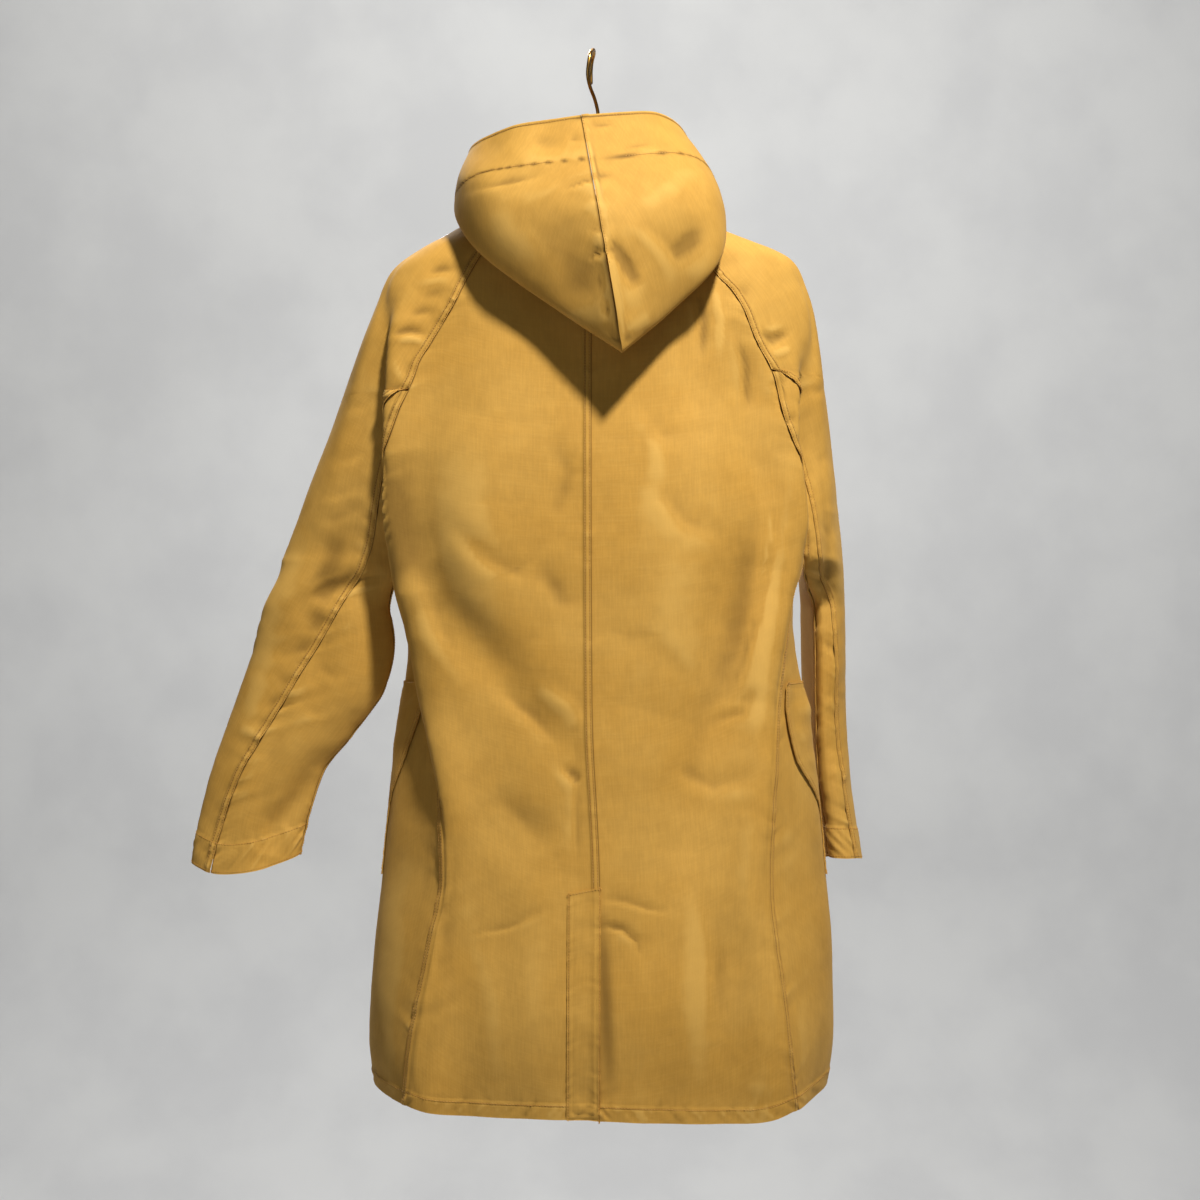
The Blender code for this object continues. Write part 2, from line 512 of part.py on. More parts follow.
def wall_directions(of_skin, points):
    """Outward directions of a panel: its own, and the skin's where it meets a neighbour.
    An edge that rises out of a crease keeps its own direction, and so its thickness."""
    middle = (len(points) // 2, points.shape[1] // 2)
    facing = grid_facing(points, of_skin[middle], middle)
    for edge, inner in ((0, 1), (-1, -2)):
        step = unit(points[:, inner] - points[:, edge])
        rises = np.sum(step * of_skin[:, edge], axis=-1, keepdims=True)
        agrees = np.sum(facing[:, edge] * of_skin[:, edge], axis=-1, keepdims=True)
        own = np.maximum(ease(rises, 0.2, 0.6), (1 - ease(agrees, 0.15, 0.4)) * ease(rises, -0.5, -0.2))
        facing[:, edge] = unit(mix(of_skin[:, edge], facing[:, edge], own))
    return facing


def material(name, colour, roughness, metallic=0.0):
    made = bpy.data.materials.new(name)
    made.use_nodes = True
    shader = made.node_tree.nodes["Principled BSDF"]
    shader.inputs["Base Color"].default_value = (*colour, 1.0)
    shader.inputs["Roughness"].default_value = roughness
    shader.inputs["Metallic"].default_value = metallic
    return made


def add_object(name, mesh, finish):
    work = bmesh.new()
    work.from_mesh(mesh)
    bmesh.ops.recalc_face_normals(work, faces=work.faces)
    bmesh.ops.triangulate(work, faces=work.faces)
    work.to_mesh(mesh)
    work.free()
    mesh.materials.append(finish)
    mesh.shade_smooth()
    mesh.set_sharp_from_angle(angle=math.radians(40))
    piece = bpy.data.objects.new(name, mesh)
    bpy.context.scene.collection.objects.link(piece)
    return piece


def wall(name, outer, inner, finish, turned=()):
    """A closed sheet between two grids of points. Cells of the turned columns are split the other way."""
    rows, columns = outer.shape[:2]
    count = rows * columns
    vertices = np.concatenate([outer.reshape(-1, 3), inner.reshape(-1, 3)]) * MM
    faces = []
    for i in range(rows - 1):
        for j in range(columns - 1):
            a, b = i * columns + j, i * columns + j + 1
            c, d = b + columns, a + columns
            for p, q, r in ((a, b, d), (b, c, d)) if j in turned else ((a, b, c), (a, c, d)):
                faces += [(p, q, r), (count + r, count + q, count + p)]
    edge = [j for j in range(columns)] + [i * columns + columns - 1 for i in range(1, rows)]
    edge += [(rows - 1) * columns + j for j in range(columns - 2, -1, -1)]
    edge += [i * columns for i in range(rows - 2, 0, -1)]
    for a, b in zip(edge, edge[1:] + edge[:1]):
        faces.append((b, a, count + a, count + b))
    mesh = bpy.data.meshes.new(name)
    mesh.from_pydata(vertices.tolist(), [], faces)
    return add_object(name, mesh, finish)


def panel(names, side, part, rounds, levels, finish, cut=None):
    """A panel's wall. Returns its outer points and outward directions.
    With a second name, the panel is two nodes, a seam's gap apart at the row numbered cut."""
    points = inset(skin(side, levels, rounds, part))
    facing = wall_directions(normals(side, part, levels, rounds), points)
    spans = (np.s_[:],) if cut is None else (np.s_[:cut + 1], np.s_[cut:])
    for name, span, end, inner in zip(names.split(), spans, (-1, 0), (-2, 1)):
        outer = points[span].copy()
        if cut is not None:
            outer[end] += unit(outer[inner] - outer[end]) * DRAWN_IN
        wall(name, outer, outer - facing[span] * CLOTH, finish)
    return points, facing


BODY_ROWS = [-190, -206, -222, -240, -262, -286, -312, -334, -352, -356, -373, -377, -398, -418, -438, -458,
             -480, -505, -530, -556, -584, -614, -644, -676, -690, -712, -740, -774, -812, -854, -904, -950,
             -1000, -1050, -1090, -1122, -1150]
BACK_COLUMNS, FRONT_COLUMNS, RIM_COLUMNS = 10, 10, 3
CREST_COLUMN, SLEEVE_FRONT_COLUMNS, UNDER_COLUMNS = 5, 6, 5    # the sleeve's crest is the column numbered 5
SLEEVE_ROWS = [z for z in BODY_ROWS if z > -800] + [-802, -830, -854, -878, -900]
SLEEVE_CUT_ROW = SLEEVE_ROWS.index(-584)       # a sleeve's outer piece is two nodes that part at this row


def even_to_edge(columns, crowd=1.5):
    """Shares along a row that crowd towards its end."""
    return 1 - (1 - np.linspace(0, 1, columns + 1)) ** crowd


def edge_round(side, name, z, height_of, below):
    """A panel's edge: a seam above the underarm, the side or underarm seam below it."""
    return seam_on_row(side, name, z, height_of) if z > UNDERARM_Z else below


def body_panels(finish):
    """The two backs and the two fronts. Returns their points and outward directions by name."""
    sheets = {}
    for side in ("left", "right"):
        rounds, levels = grid(side, "body", BODY_ROWS, lambda z: 0.0,
                              lambda z: edge_round(side, "back", z, row_height, SIDE_SEAM), BACK_COLUMNS,
                              grade=even_to_edge(BACK_COLUMNS, 1.3))
        sheets["back_" + side] = panel("back_" + side, side, "body", rounds, levels, finish)

        def front_edge(z):
            return edge_round(side, "front", z, row_height, 8.0)

        def rim(z):
            return mix(front_edge(z), 12.0, 0.25)

        halves = [grid(side, "body", BODY_ROWS, front_edge, rim, RIM_COLUMNS),
                  grid(side, "body", BODY_ROWS, rim, lambda z: 12.0, FRONT_COLUMNS - RIM_COLUMNS)]
        rounds, levels = [np.concatenate([near, far[:, 1:]], axis=1) for near, far in zip(*halves)]
        sheets["front_" + side] = panel("front_" + side, side, "body", rounds, levels, finish)
    return sheets


def sleeve_panels(finish):
    """The upper, lower and under pieces of both sleeves. Returns the points and outward directions of each
    upper and lower piece together."""
    uppers = {}
    for side in ("left", "right"):
        top = ELBOW_SEAM_TOP[side]

        def elbow_edge(z):
            return seam_on_row(side, "back" if z > top else "elbow", z, cuff_height)

        halves = [grid(side, "sleeve", SLEEVE_ROWS, elbow_edge, lambda z: 6.0, CREST_COLUMN, cuff_height),
                  grid(side, "sleeve", SLEEVE_ROWS, lambda z: 6.0,
                       lambda z: edge_round(side, "front", z, cuff_height, SLEEVE_SEAM),
                       SLEEVE_FRONT_COLUMNS, cuff_height)]
        rounds, levels = [np.concatenate([back, front[:, 1:]], axis=1) for back, front in zip(*halves)]
        names = "sleeve_{0}_upper sleeve_{0}_lower".format(side)
        uppers[side] = panel(names, side, "sleeve", rounds, levels, finish, SLEEVE_CUT_ROW)
        rounds, levels = grid(side, "sleeve", [z for z in SLEEVE_ROWS if z <= top],
                              lambda z: edge_round(side, "back", z, cuff_height, 4.0), elbow_edge,
                              UNDER_COLUMNS, cuff_height)
        panel("sleeve_" + side + "_under", side, "sleeve", rounds, levels, finish)
    return uppers


def neck_line(side, sheets, uppers):
    """The points of the neck seam from the centre front round to the centre back, and the hood's stations."""
    around = (sheets["front_" + side], uppers[side], sheets["back_" + side])
    pieces = [points[0][::-1] for points, facing in around]
    points = np.concatenate([piece if i == 0 else piece[1:] for i, piece in enumerate(pieces)])
    length = np.concatenate([[0], np.cumsum(np.linalg.norm(np.diff(points, axis=0), axis=1))])
    return points, by_round(HOOD_STATION, length / length[-1])


def hood_halves(sheets, uppers, finish):
    for side in ("left", "right"):
        names, rows = HOOD[side]
        cells = np.array(rows, float)
        columns = dict(zip(names.split(), cells.T))
        neck, stations = neck_line(side, sheets, uppers)

        def guide(kind):
            places = np.array([columns[kind + axis] for axis in ("_x", "_y", "_z")])
            line = [place[:, None] for place in places.T]
            return thread(line, line[1] - line[0], line[6] - line[5], stations).T

        neck = neck + (0, 0, HOOD_ABOVE_NECK)
        fold, middle, edge = guide("fold"), guide("mid"), guide("edge")
        away = unit(neck * (1, 1, 0))
        up = np.stack([0 * stations, 0 * stations, by_round(HOOD_STAND, stations)], axis=-1)
        rolled = [neck + away * out + up * share for out, share in HOOD_ROLL]
        rolled.append(mix(rolled[1], fold, 0.5) + up * 0.25)
        back = ease(stations, 1.0, 2.8)[:, None]
        inside = [mix(mix(neck, fold, share), place, back) for share, place in zip((0.25, 0.5, 0.75), rolled)]
        guides = [neck] + inside + [fold, middle, edge]
        ribs = []
        for t in HOOD_RIBS:
            lines = [line.T for line in guides]
            ribs.append(thread(lines, lines[1] - lines[0], lines[6] - lines[5], np.full(len(stations), t)).T)
        points = inset(np.array(ribs))
        points[:, 0, 0] += HOOD_FROM_FRONT if side == "right" else -HOOD_FROM_FRONT
        facing = grid_facing(points, (0, 1, 0))
        spine = np.cross(np.gradient(points[:, -1], axis=0), (1.0, 0.0, 0.0))
        spine /= np.linalg.norm(spine, axis=-1, keepdims=True)
        facing[:, -1] = spine * np.sign(np.sum(spine * facing[:, -2], axis=-1, keepdims=True))
        wall("hood_" + side, points, points - facing * CLOTH, finish)


def pair_of(left, right):
    """One row-wise sheet from the left piece's far edge through the middle to the right piece's far edge."""
    return [np.concatenate([a, b[:, 1:]], axis=1) for a, b in zip(left, right)]


def flipped(sheet):
    return [cells[:, ::-1] for cells in sheet]


def row_lengths(points):
    """How far each point of a row is along it."""
    steps = np.linalg.norm(np.diff(points, axis=1), axis=2)
    return np.concatenate([np.zeros((len(points), 1)), np.cumsum(steps, axis=1)], axis=1)


def finer_rows(cells, times):
    """The same rows with others between them, on the straight lines that join them."""
    places = np.linspace(0, len(cells) - 1, (len(cells) - 1) * times + 1)
    low = np.minimum(places.astype(int), len(cells) - 2)
    share = (places - low).reshape((-1,) + (1,) * (cells.ndim - 1))
    return mix(cells[low], cells[low + 1], share)


def laid(name, sheet, rows, zero, start, end, finish, lift=GAP + 0.3, thick=PATCH, finer=1, mirrored=None):
    """A patch on a sheet, made from the sheet's points moved out.
    Start and end are distances along each row from the column numbered zero, and mirrored tells on which side
    of that column the sheet's own columns run backwards."""
    points, facing = [finer_rows(cells[rows], finer) for cells in sheet]
    start, end = finer_rows(start, finer), finer_rows(end, finer)
    lengths = row_lengths(points)
    lengths -= lengths[:, zero:zero + 1] if zero >= 0 else lengths[:, zero:]
    inside = (lengths > np.min(start)) & (lengths < np.max(end))
    columns = np.flatnonzero(inside.any(axis=0))
    count = len(columns) + 2
    step = 0.9 * np.arange(count)
    base, out = [], []
    for i, length in enumerate(lengths):
        places = np.concatenate([[start[i]], length[columns], [end[i]]])
        places = np.clip(places, start[i] + step, end[i] - step[::-1])
        base.append(np.stack([np.interp(places, length, points[i, :, k]) for k in range(3)], axis=-1))
        out.append(np.stack([np.interp(places, length, facing[i, :, k]) for k in range(3)], axis=-1))
    base, out = np.array(base), np.array(out)
    before = set(np.flatnonzero(np.concatenate([[columns[0]], columns]) <= zero)) if zero >= 0 else set()
    turned = {"before": before, "after": set(range(count - 1)) - before, None: set()}[mirrored]
    wall(name, base + out * (lift + thick), base + out * lift, finish, turned)
    return base + out * (lift + thick), out


def rows_between(low, high):
    return [i for i, z in enumerate(BODY_ROWS) if low <= z <= high]


def patches(sheets, finish):
    """The pockets, the vent strip and the placket, each on its panels. Returns the placket's face."""
    for side in ("left", "right"):
        front = sheets["front_" + side]
        rows = rows_between(-904, -690)
        rear = POCKET[side].read("rear", np.array([BODY_ROWS[i] for i in rows], float))
        reach = row_lengths(front[0][rows])[:, -1]
        laid("pocket_" + side, front, rows, -1, rear - reach, np.full(len(rows), -POCKET_FROM_CENTRE), finish,
             lift=0.9, finer=3)
    backs = pair_of(flipped(sheets["back_left"]), sheets["back_right"])
    rows = rows_between(-1150, -904)
    even = np.ones(len(rows))
    laid("back_vent_strip", backs, rows, BACK_COLUMNS, -VENT_LEFT * even, VENT_RIGHT * even, finish,
         mirrored="before")
    fronts = pair_of(sheets["front_left"], flipped(sheets["front_right"]))
    rows = rows_between(-1150, -262)
    even = np.ones(len(rows))
    return laid("front_placket", fronts, rows, FRONT_COLUMNS, -PLACKET_HALF * even, PLACKET_HALF * even,
                finish, mirrored="after")


def buttons(face, finish):
    points, facing = face
    middle = points.shape[1] // 2
    line, heading = points[:, middle], facing[:, middle]
    for i in range(BUTTON_COUNT):
        z = BUTTON_TOP_Z - i * BUTTON_PITCH
        at = np.array([np.interp(-z, -line[:, 2], line[:, k]) for k in range(3)])
        out = np.array([np.interp(-z, -line[:, 2], heading[:, k]) for k in range(3)])
        work = bmesh.new()
        radius = BUTTON_DIAMETER / 2 * MM
        bmesh.ops.create_cone(work, cap_ends=True, segments=BUTTON_SIDES, radius1=radius, radius2=radius,
                              depth=BUTTON_THICK * MM)
        rims = [edge for edge in work.edges if abs(edge.verts[0].co.z - edge.verts[1].co.z) < 1e-6]
        bmesh.ops.bevel(work, geom=rims, offset=BUTTON_BEVEL * MM, segments=1, affect="EDGES")
        mesh = bpy.data.meshes.new("button")
        work.to_mesh(mesh)
        work.free()
        button = add_object("button_%d" % (i + 1), mesh, finish)
        button.location = Vector(at + out * (BUTTON_THICK / 2 + GAP)) * MM
        button.rotation_euler = Vector(out).to_track_quat("Z", "X").to_euler()


def hanger(uppers, wood, brass):
    """The bar under the shoulders, whose top runs just inside the sleeves' crest, and its wire hook."""
    crests = {side: points[:, CREST_COLUMN] - facing[:, CREST_COLUMN] * (CLOTH + BAR_CLEARANCE)
              for side, (points, facing) in uppers.items()}
    spine = [crests["left"][i] for i in BAR_ROWS] + [np.array(place, float) for place in BAR_MIDDLE]
    spine += [crests["right"][i] for i in reversed(BAR_ROWS)]
    rings = []
    for i, top in enumerate(spine):
        slim = BAR_TIP_SHARE if i in (0, len(spine) - 1) else 1.0
        rings.append([(top[0], top[1] + y * slim, top[2] + z * slim) for y, z in BAR_OUTLINE])
    count = len(BAR_OUTLINE)
    vertices = [tuple(c * MM for c in point) for ring in rings for point in ring]
    faces = []
    for low in range(0, (len(rings) - 1) * count, count):
        for j in range(count):
            after = (j + 1) % count
            faces.append((low + j, low + after, low + count + after, low + count + j))
    faces += [tuple(range(count)), tuple(range(len(vertices) - 1, len(vertices) - count - 1, -1))]
    mesh = bpy.data.meshes.new("hanger_bar")
    mesh.from_pydata(vertices, [], faces)
    add_object("hanger_bar", mesh, wood)
    curve = bpy.data.curves.new("hanger_hook", "CURVE")
    curve.dimensions = "3D"
    curve.bevel_depth = HOOK_WIRE / 2 * MM
    curve.bevel_resolution = 2
    curve.use_fill_caps = True
    path = [np.array(point, float)[:, None] for point in HOOK_PATH]
    fine = np.linspace(0, len(path) - 1, HOOK_STEPS)
    line = thread(path, path[1] - path[0], path[-1] - path[-2], fine).T * MM
    spline = curve.splines.new("POLY")
    spline.points.add(len(line) - 1)
    for point, place in zip(spline.points, line):
        point.co = (*place, 1.0)
    curve.materials.append(brass)
    bpy.context.scene.collection.objects.link(bpy.data.objects.new("hanger_hook", curve))


def main():
    for old in list(bpy.data.objects):
        bpy.data.objects.remove(old)
    cotton = material("mustard_cotton", (0.60, 0.33, 0.07), 0.85)
    horn = material("brown_button", (0.09, 0.05, 0.03), 0.4)
    beech = material("hanger_wood", (0.45, 0.28, 0.14), 0.5)
    brass = material("hook_brass", (0.62, 0.44, 0.18), 0.3, 1.0)
    sheets = body_panels(cotton)
    uppers = sleeve_panels(cotton)
    hood_halves(sheets, uppers, cotton)
    buttons(patches(sheets, cotton), horn)
    hanger(uppers, beech, brass)


main()
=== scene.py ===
import math

import bmesh
import bpy
import numpy as np
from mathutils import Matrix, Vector


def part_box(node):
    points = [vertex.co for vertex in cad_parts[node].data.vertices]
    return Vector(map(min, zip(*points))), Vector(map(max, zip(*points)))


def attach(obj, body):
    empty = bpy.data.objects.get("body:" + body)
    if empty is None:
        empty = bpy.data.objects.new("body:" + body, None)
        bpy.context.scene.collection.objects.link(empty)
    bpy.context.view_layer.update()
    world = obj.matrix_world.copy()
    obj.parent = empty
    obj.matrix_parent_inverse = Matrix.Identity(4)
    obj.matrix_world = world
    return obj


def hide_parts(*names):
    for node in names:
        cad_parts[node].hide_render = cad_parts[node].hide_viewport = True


# A hooded cotton parka on a wooden hanger, seen from its back along +Y. Lengths in the tables are in mm.
# The cloth follows the part's own skin: level sections down the coat, each with a "round" from 0 at the
# centre back to 12 at the centre front. 0 to 4 is the back, 4 to 8 the sleeve, 8 to 12 the front.

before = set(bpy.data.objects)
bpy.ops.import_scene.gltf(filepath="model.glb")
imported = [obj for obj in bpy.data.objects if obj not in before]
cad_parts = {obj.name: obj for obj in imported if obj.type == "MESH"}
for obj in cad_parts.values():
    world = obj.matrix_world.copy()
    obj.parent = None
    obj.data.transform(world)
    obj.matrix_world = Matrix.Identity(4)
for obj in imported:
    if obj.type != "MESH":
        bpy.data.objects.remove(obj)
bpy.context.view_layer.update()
print("frame loaded:", len(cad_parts), "nodes")

mm = 0.001
neckZ, collarZ = -190.0, -300.0       # rows between these two follow the neck seam
underarmZ = -556.0
hemFromZ, hemZ = -1050.0, -1150.0     # rows between these two follow the hem
cuffFromZ, cuffZ = -830.0, -900.0     # rows between these two follow the cuff's edge
sideSeam = 4 - 1e-6                   # the last round of the back, just short of the sleeve
sleeveSeam = 8 - 1e-6                 # the last round of the sleeve, just short of the front
sleeveRingZ = -612.0                  # the sleeve is a plain ring below this height
ovalPowers = (2.4, 2.1)               # how square a body section is, across and deep
# how far the centre back seam wanders from the middle, by height
centreBackX = ((-1160, 8), (-914, 9), (-708, 1), (-450, 0), (-160, 0))


class Table:
    # Rows of named columns down the coat. A column is read at any height by a curve with no overshoot.

    def __init__(self, names, rows):
        cells = np.array(sorted(rows), float)
        self.columns = dict(zip(names.split(), cells.T))
        self.z = self.columns["z"]

    def read(self, name, z):
        return smooth(self.z, self.columns[name], z)


def smooth(at, values, x):
    # A monotone cubic through the values, held level past both ends.
    x = np.clip(x, at[0], at[-1])
    step = np.diff(at)
    rise = np.diff(values) / step
    slope = np.zeros(len(values))
    slope[0], slope[-1] = rise[0], rise[-1]
    for i in range(1, len(values) - 1):
        if rise[i - 1] * rise[i] > 0:
            near, far = 2 * step[i] + step[i - 1], step[i] + 2 * step[i - 1]
            slope[i] = (near + far) / (near / rise[i - 1] + far / rise[i])
    i = np.clip(np.searchsorted(at, x, side="right") - 1, 0, len(step) - 1)
    t = (x - at[i]) / step[i]
    return hermite(values[i], values[i + 1], slope[i] * step[i], slope[i + 1] * step[i], t)


def hermite(start, end, leave, arrive, t):
    return ((1 + 2 * t) * (1 - t) ** 2 * start + t * (1 - t) ** 2 * leave
            + t * t * (3 - 2 * t) * end + t * t * (t - 1) * arrive)


def ease(x, low, high):
    # 0 at low, 1 at high, level at both.
    t = np.clip((x - low) / (high - low), 0.0, 1.0)
    return t * t * (3 - 2 * t)


def mix(a, b, share):
    return a + (b - a) * share


# How deep the coat hangs in front of and behind its hanger.
depthTable = Table("z back front", [
    (-160, 50, 62), (-190, 57, 72), (-250, 70, 88), (-300, 79, 96), (-380, 90, 100), (-450, 99, 100),
    (-600, 104, 104), (-800, 110, 108), (-950, 119, 113), (-1050, 125, 117), (-1160, 119, 113)])

# The ridge of the shoulder and on down the outer crest of the upper arm.
crestTable = {
    "left": Table("z x y", [
        (-160, 70, 4), (-171, 93, 4), (-180, 118, 5), (-190, 145, 5), (-201, 163, 5), (-211, 181, 5),
        (-223, 199, 5), (-232, 211, 5), (-243, 221, 5), (-256, 228, 5), (-272, 234, 6), (-317, 251, 8),
        (-383, 275, 10), (-449, 299, 12), (-515, 323, 16), (-560, 341, 20)]),
    "right": Table("z x y", [
        (-160, 70, 4), (-171, 93, 4), (-181, 118, 5), (-191, 138, 5), (-199, 154, 5), (-207, 174, 5),
        (-218, 201, 5), (-229, 220, 5), (-241, 229, 7), (-256, 235, 10), (-278, 243, 14), (-313, 251, 20),
        (-355, 259, 28), (-434, 271, 50), (-490, 278, 62), (-535, 283, 74), (-580, 286, 80)])}

# Each side of the body from the arm down: its half width, the back fold's edge, the crease or side seam
# behind it, how far back the upper arm stands, then the front crease and the front fold's edge.
sideColumns = "z wide edgeX edgeY seamX seamY armY foldX foldY frontX frontY"
sideTable = {
    "left": Table(sideColumns, [
        (-280, 224, 205, -48, 208, -38, -30, 206, 50, 198, 70),
        (-325, 226, 217, -52, 216, -37, -31, 214, 54, 202, 74),
        (-400, 229, 221, -58, 217, -39, -32, 216, 54, 205, 76),
        (-450, 230, 222, -60, 218, -39, -32, 216, 52, 205, 74),
        (-506, 230, 223, -60, 217, -33, -28, 214, 36, 206, 68),
        (-556, 224, 216, -58, 212, -12, -20, 212, -12, 214, 36),
        (-592, 214, 209, -55, 203, -14, -20, 203, -14, 209, 30),
        (-640, 206, 197, -52, 189, -22, -20, 189, -22, 205, 20),
        (-660, 205, 192, -52, 184, -26, -20, 184, -26, 204, 16),
        (-700, 207, 184, -55, 174, -33, -20, 174, -33, 207, 8),
        (-760, 214, 168, -76, 168, -57, -20, 168, -57, 214, 2),
        (-820, 220, 155, -90, 164, -77, -20, 164, -77, 220, 0),
        (-880, 227, 150, -98, 165, -87, -20, 165, -87, 227, 0),
        (-980, 238, 164, -104, 181, -92, -20, 181, -92, 238, 0),
        (-1035, 242, 172, -107, 191, -92, -20, 191, -92, 242, 0),
        (-1087, 243, 178, -107, 198, -90, -20, 198, -90, 243, 0),
        (-1160, 233, 182, -100, 202, -80, -20, 202, -80, 233, 0)]),
    "right": Table(sideColumns, [
        (-280, 232, 212, -40, 222, -26, -18, 216, 50, 200, 66),
        (-325, 232, 219, -44, 223, -26, -16, 216, 60, 202, 76),
        (-380, 233, 226, -47, 223, -27, -14, 216, 68, 202, 84),
        (-430, 233, 226, -50, 221, -27, -12, 214, 76, 203, 86),
        (-473, 237, 231, -50, 226, -29, -16, 217, 62, 208, 82),
        (-516, 240, 235, -48, 230, -32, -22, 224, 22, 218, 64),
        (-556, 234, 226, -52, 231, -26, -26, 231, -26, 229, 10),
        (-581, 227, 219, -57, 223, -42, -20, 223, -42, 223, 4),
        (-600, 223, 212, -61, 217, -49, -20, 217, -49, 220, 0),
        (-626, 222, 205, -67, 213, -52, -20, 213, -52, 220, -2),
        (-646, 224, 200, -71, 210, -55, -20, 210, -55, 222, -4),
        (-673, 228, 194, -76, 206, -60, -20, 206, -60, 226, -4),
        (-701, 234, 189, -81, 203, -65, -20, 203, -65, 232, -4),
        (-777, 244, 180, -91, 197, -78, -20, 197, -78, 243, 0),
        (-823, 250, 175, -95, 193, -83, -20, 193, -83, 250, 0),
        (-903, 258, 172, -102, 190, -90, -20, 190, -90, 258, 0),
        (-1000, 265, 180, -108, 200, -94, -20, 200, -94, 265, 0),
        (-1065, 266, 186, -109, 208, -94, -20, 208, -94, 266, 0),
        (-1160, 256, 198, -100, 220, -82, -20, 220, -82, 256, 0)])}

# The sleeve's ring below the underarm: its centre, half width across the coat, half depth and turn.
sleeveTable = {
    "left": Table("z x y across deep turn", [
        (-556, 278, 8, 64, 33, 0), (-600, 289, 16, 68, 34, 3), (-650, 293, 20, 79, 33, 5),
        (-700, 308, 22, 83, 33, 5), (-753, 336, 24, 73, 33, 4), (-793, 359, 24, 63, 32, 3),
        (-832, 371, 24, 61, 30, 2), (-867, 379, 24, 60, 28, 0), (-910, 385, 24, 60, 27, 0)]),
    "right": Table("z x y across deep turn", [
        (-556, 262, 74, 24, 48, 0), (-600, 263, 81, 25, 54, 0), (-650, 264, 85, 25, 60, 0),
        (-700, 265, 88, 25, 62, 0),
        (-800, 269, 90, 25, 60, 0), (-850, 275, 90, 25, 57, 0), (-910, 283, 90, 25, 55, 0)])}
sleeveSeamTurn = {"left": 8.0, "right": 55.0}    # the underarm seam, in degrees round from the inner side

# Where the crease between the back and the sleeve starts below the shoulder's tip, and where it is full.
creaseTable = {"left": (-245.0, -322.0), "right": (-285.0, -385.0)}

# The raglan seam down the back, its distance from the middle; below the last row it turns into the crease.
raglanTable = {
    "left": Table("z x", [(-431, 217), (-394, 203), (-373, 193), (-346, 183), (-324, 169), (-301, 155),
                          (-271, 139), (-233, 119), (-187, 89)]),
    "right": Table("z x", [(-437, 221), (-399, 206), (-352, 193), (-324, 178), (-292, 165), (-270, 152),
                           (-254, 136), (-225, 115), (-187, 89)])}

# heights and rounds of its run into the crease
raglanEnd = ((underarmZ, -520.0, -482.0), (4.0, 3.95, 3.75))

# The seam down the back of the sleeve, as its round, where it has left the raglan seam.
elbowSeam = {
    "left": Table("z round", [(-905, 5.40), (-790, 5.20), (-680, 5.06), (-600, 4.74), (-545, 4.40),
                              (-450, 4.06), (-400, 3.20)]),
    "right": Table("z round", [(-905, 5.02), (-700, 4.92), (-556, 4.62), (-450, 4.22), (-385, 3.30)])}
elbowSeamTop = {"left": -377.0, "right": -356.0}

# Heights of the cut edges by round: the neck seam, the hem and the cuffs.
neckEdge = ((0, -190), (2.1, -186), (3, -178), (4, -174), (6, -171), (8, -174), (9, -178), (10, -192),
            (11, -228), (12, -247))
hemEdge = {"left": ((0, -1146), (2, -1146), (4, -1138), (8, -1138), (9, -1131), (12, -1140)),
            "right": ((0, -1148), (2, -1154), (4, -1144), (8, -1144), (9, -1131), (12, -1140))}
cuffEdge = {"left": ((4, -884), (5.2, -905), (6, -894), (7.2, -892), (8, -884)),
             "right": ((4, -890), (5, -892), (6, -897), (7, -900), (8, -890))}

# The largest folds, on the side that faces -Y: a soft path, its half width and its height (a valley is < 0).
backFolds = (
    # half, height, path as (x, z)
    (26, -7, ((-178, -545), (-158, -604), (-115, -655), (-68, -708), (-30, -760))),
    (34, 6, ((-200, -604), (-168, -700), (-145, -805), (-95, -862), (-65, -890))),
    (30, -5, ((155, -565), (142, -705), (108, -808), (85, -905), (70, -960))),
    (26, 6, ((190, -560), (178, -650), (168, -720))),
    (20, -4, ((115, -275), (112, -350), (116, -420))),
    (20, -5, ((160, -318), (172, -440), (196, -515))),
    (26, -5, ((-120, -818), (-50, -880))),
)
sleeveFolds = {
    "left": ((16, -8, ((-310, -606), (-285, -594), (-250, -586), (-222, -566))),
             (15, -7, ((-298, -792), (-318, -818), (-345, -850), (-358, -890)))),
    "right": ((14, -5, ((268, -500), (262, -590))), (16, -4, ((280, -700), (272, -800))))}

# The hood, a row for each station from the throat (0) round the side to the centre back (6): its bag fold,
# the middle of what shows, and the edge of its opening.
hoodColumns = "station foldX foldY foldZ midX midY midZ edgeX edgeY edgeZ"
hoodTable = {
    "left": (hoodColumns, [
        (0, -4, 93, -235, -6, 97, -229, -9, 101, -222),
        (1, -90, 69, -183, -92, 74, -170, -88, 74, -156),
        (2, -127, 34, -173, -134, 30, -157, -120, 34, -136),
        (3, -147, -18, -180, -144, -28, -146, -130, -24, -112),
        (4, -123, -82, -230, -112, -100, -172, -86, -74, -99),
        (5, -52, -108, -287, -55, -128, -196, -46, -88, -94),
        (6, 33, -132, -346, 12, -146, -222, -10, -95, -91)]),
    "right": (hoodColumns, [
        (0, 4, 93, -235, 6, 97, -229, 9, 101, -222),
        (1, 90, 69, -183, 92, 74, -170, 86, 74, -154),
        (2, 126, 34, -179, 133, 30, -158, 110, 32, -128),
        (3, 143, -22, -186, 138, -30, -150, 100, -32, -94),
        (4, 136, -90, -245, 124, -96, -178, 70, -74, -84),
        (5, 88, -106, -297, 72, -132, -205, 32, -90, -87),
        (6, 33, -132, -346, 12, -146, -222, -10, -95, -91)])}
# How far the hood rises from the neck seam before it falls back, by station.
hoodStand = ((0, 3), (1.5, 3), (2.5, 6), (3.2, 10), (4, 16), (5, 19), (6, 19))
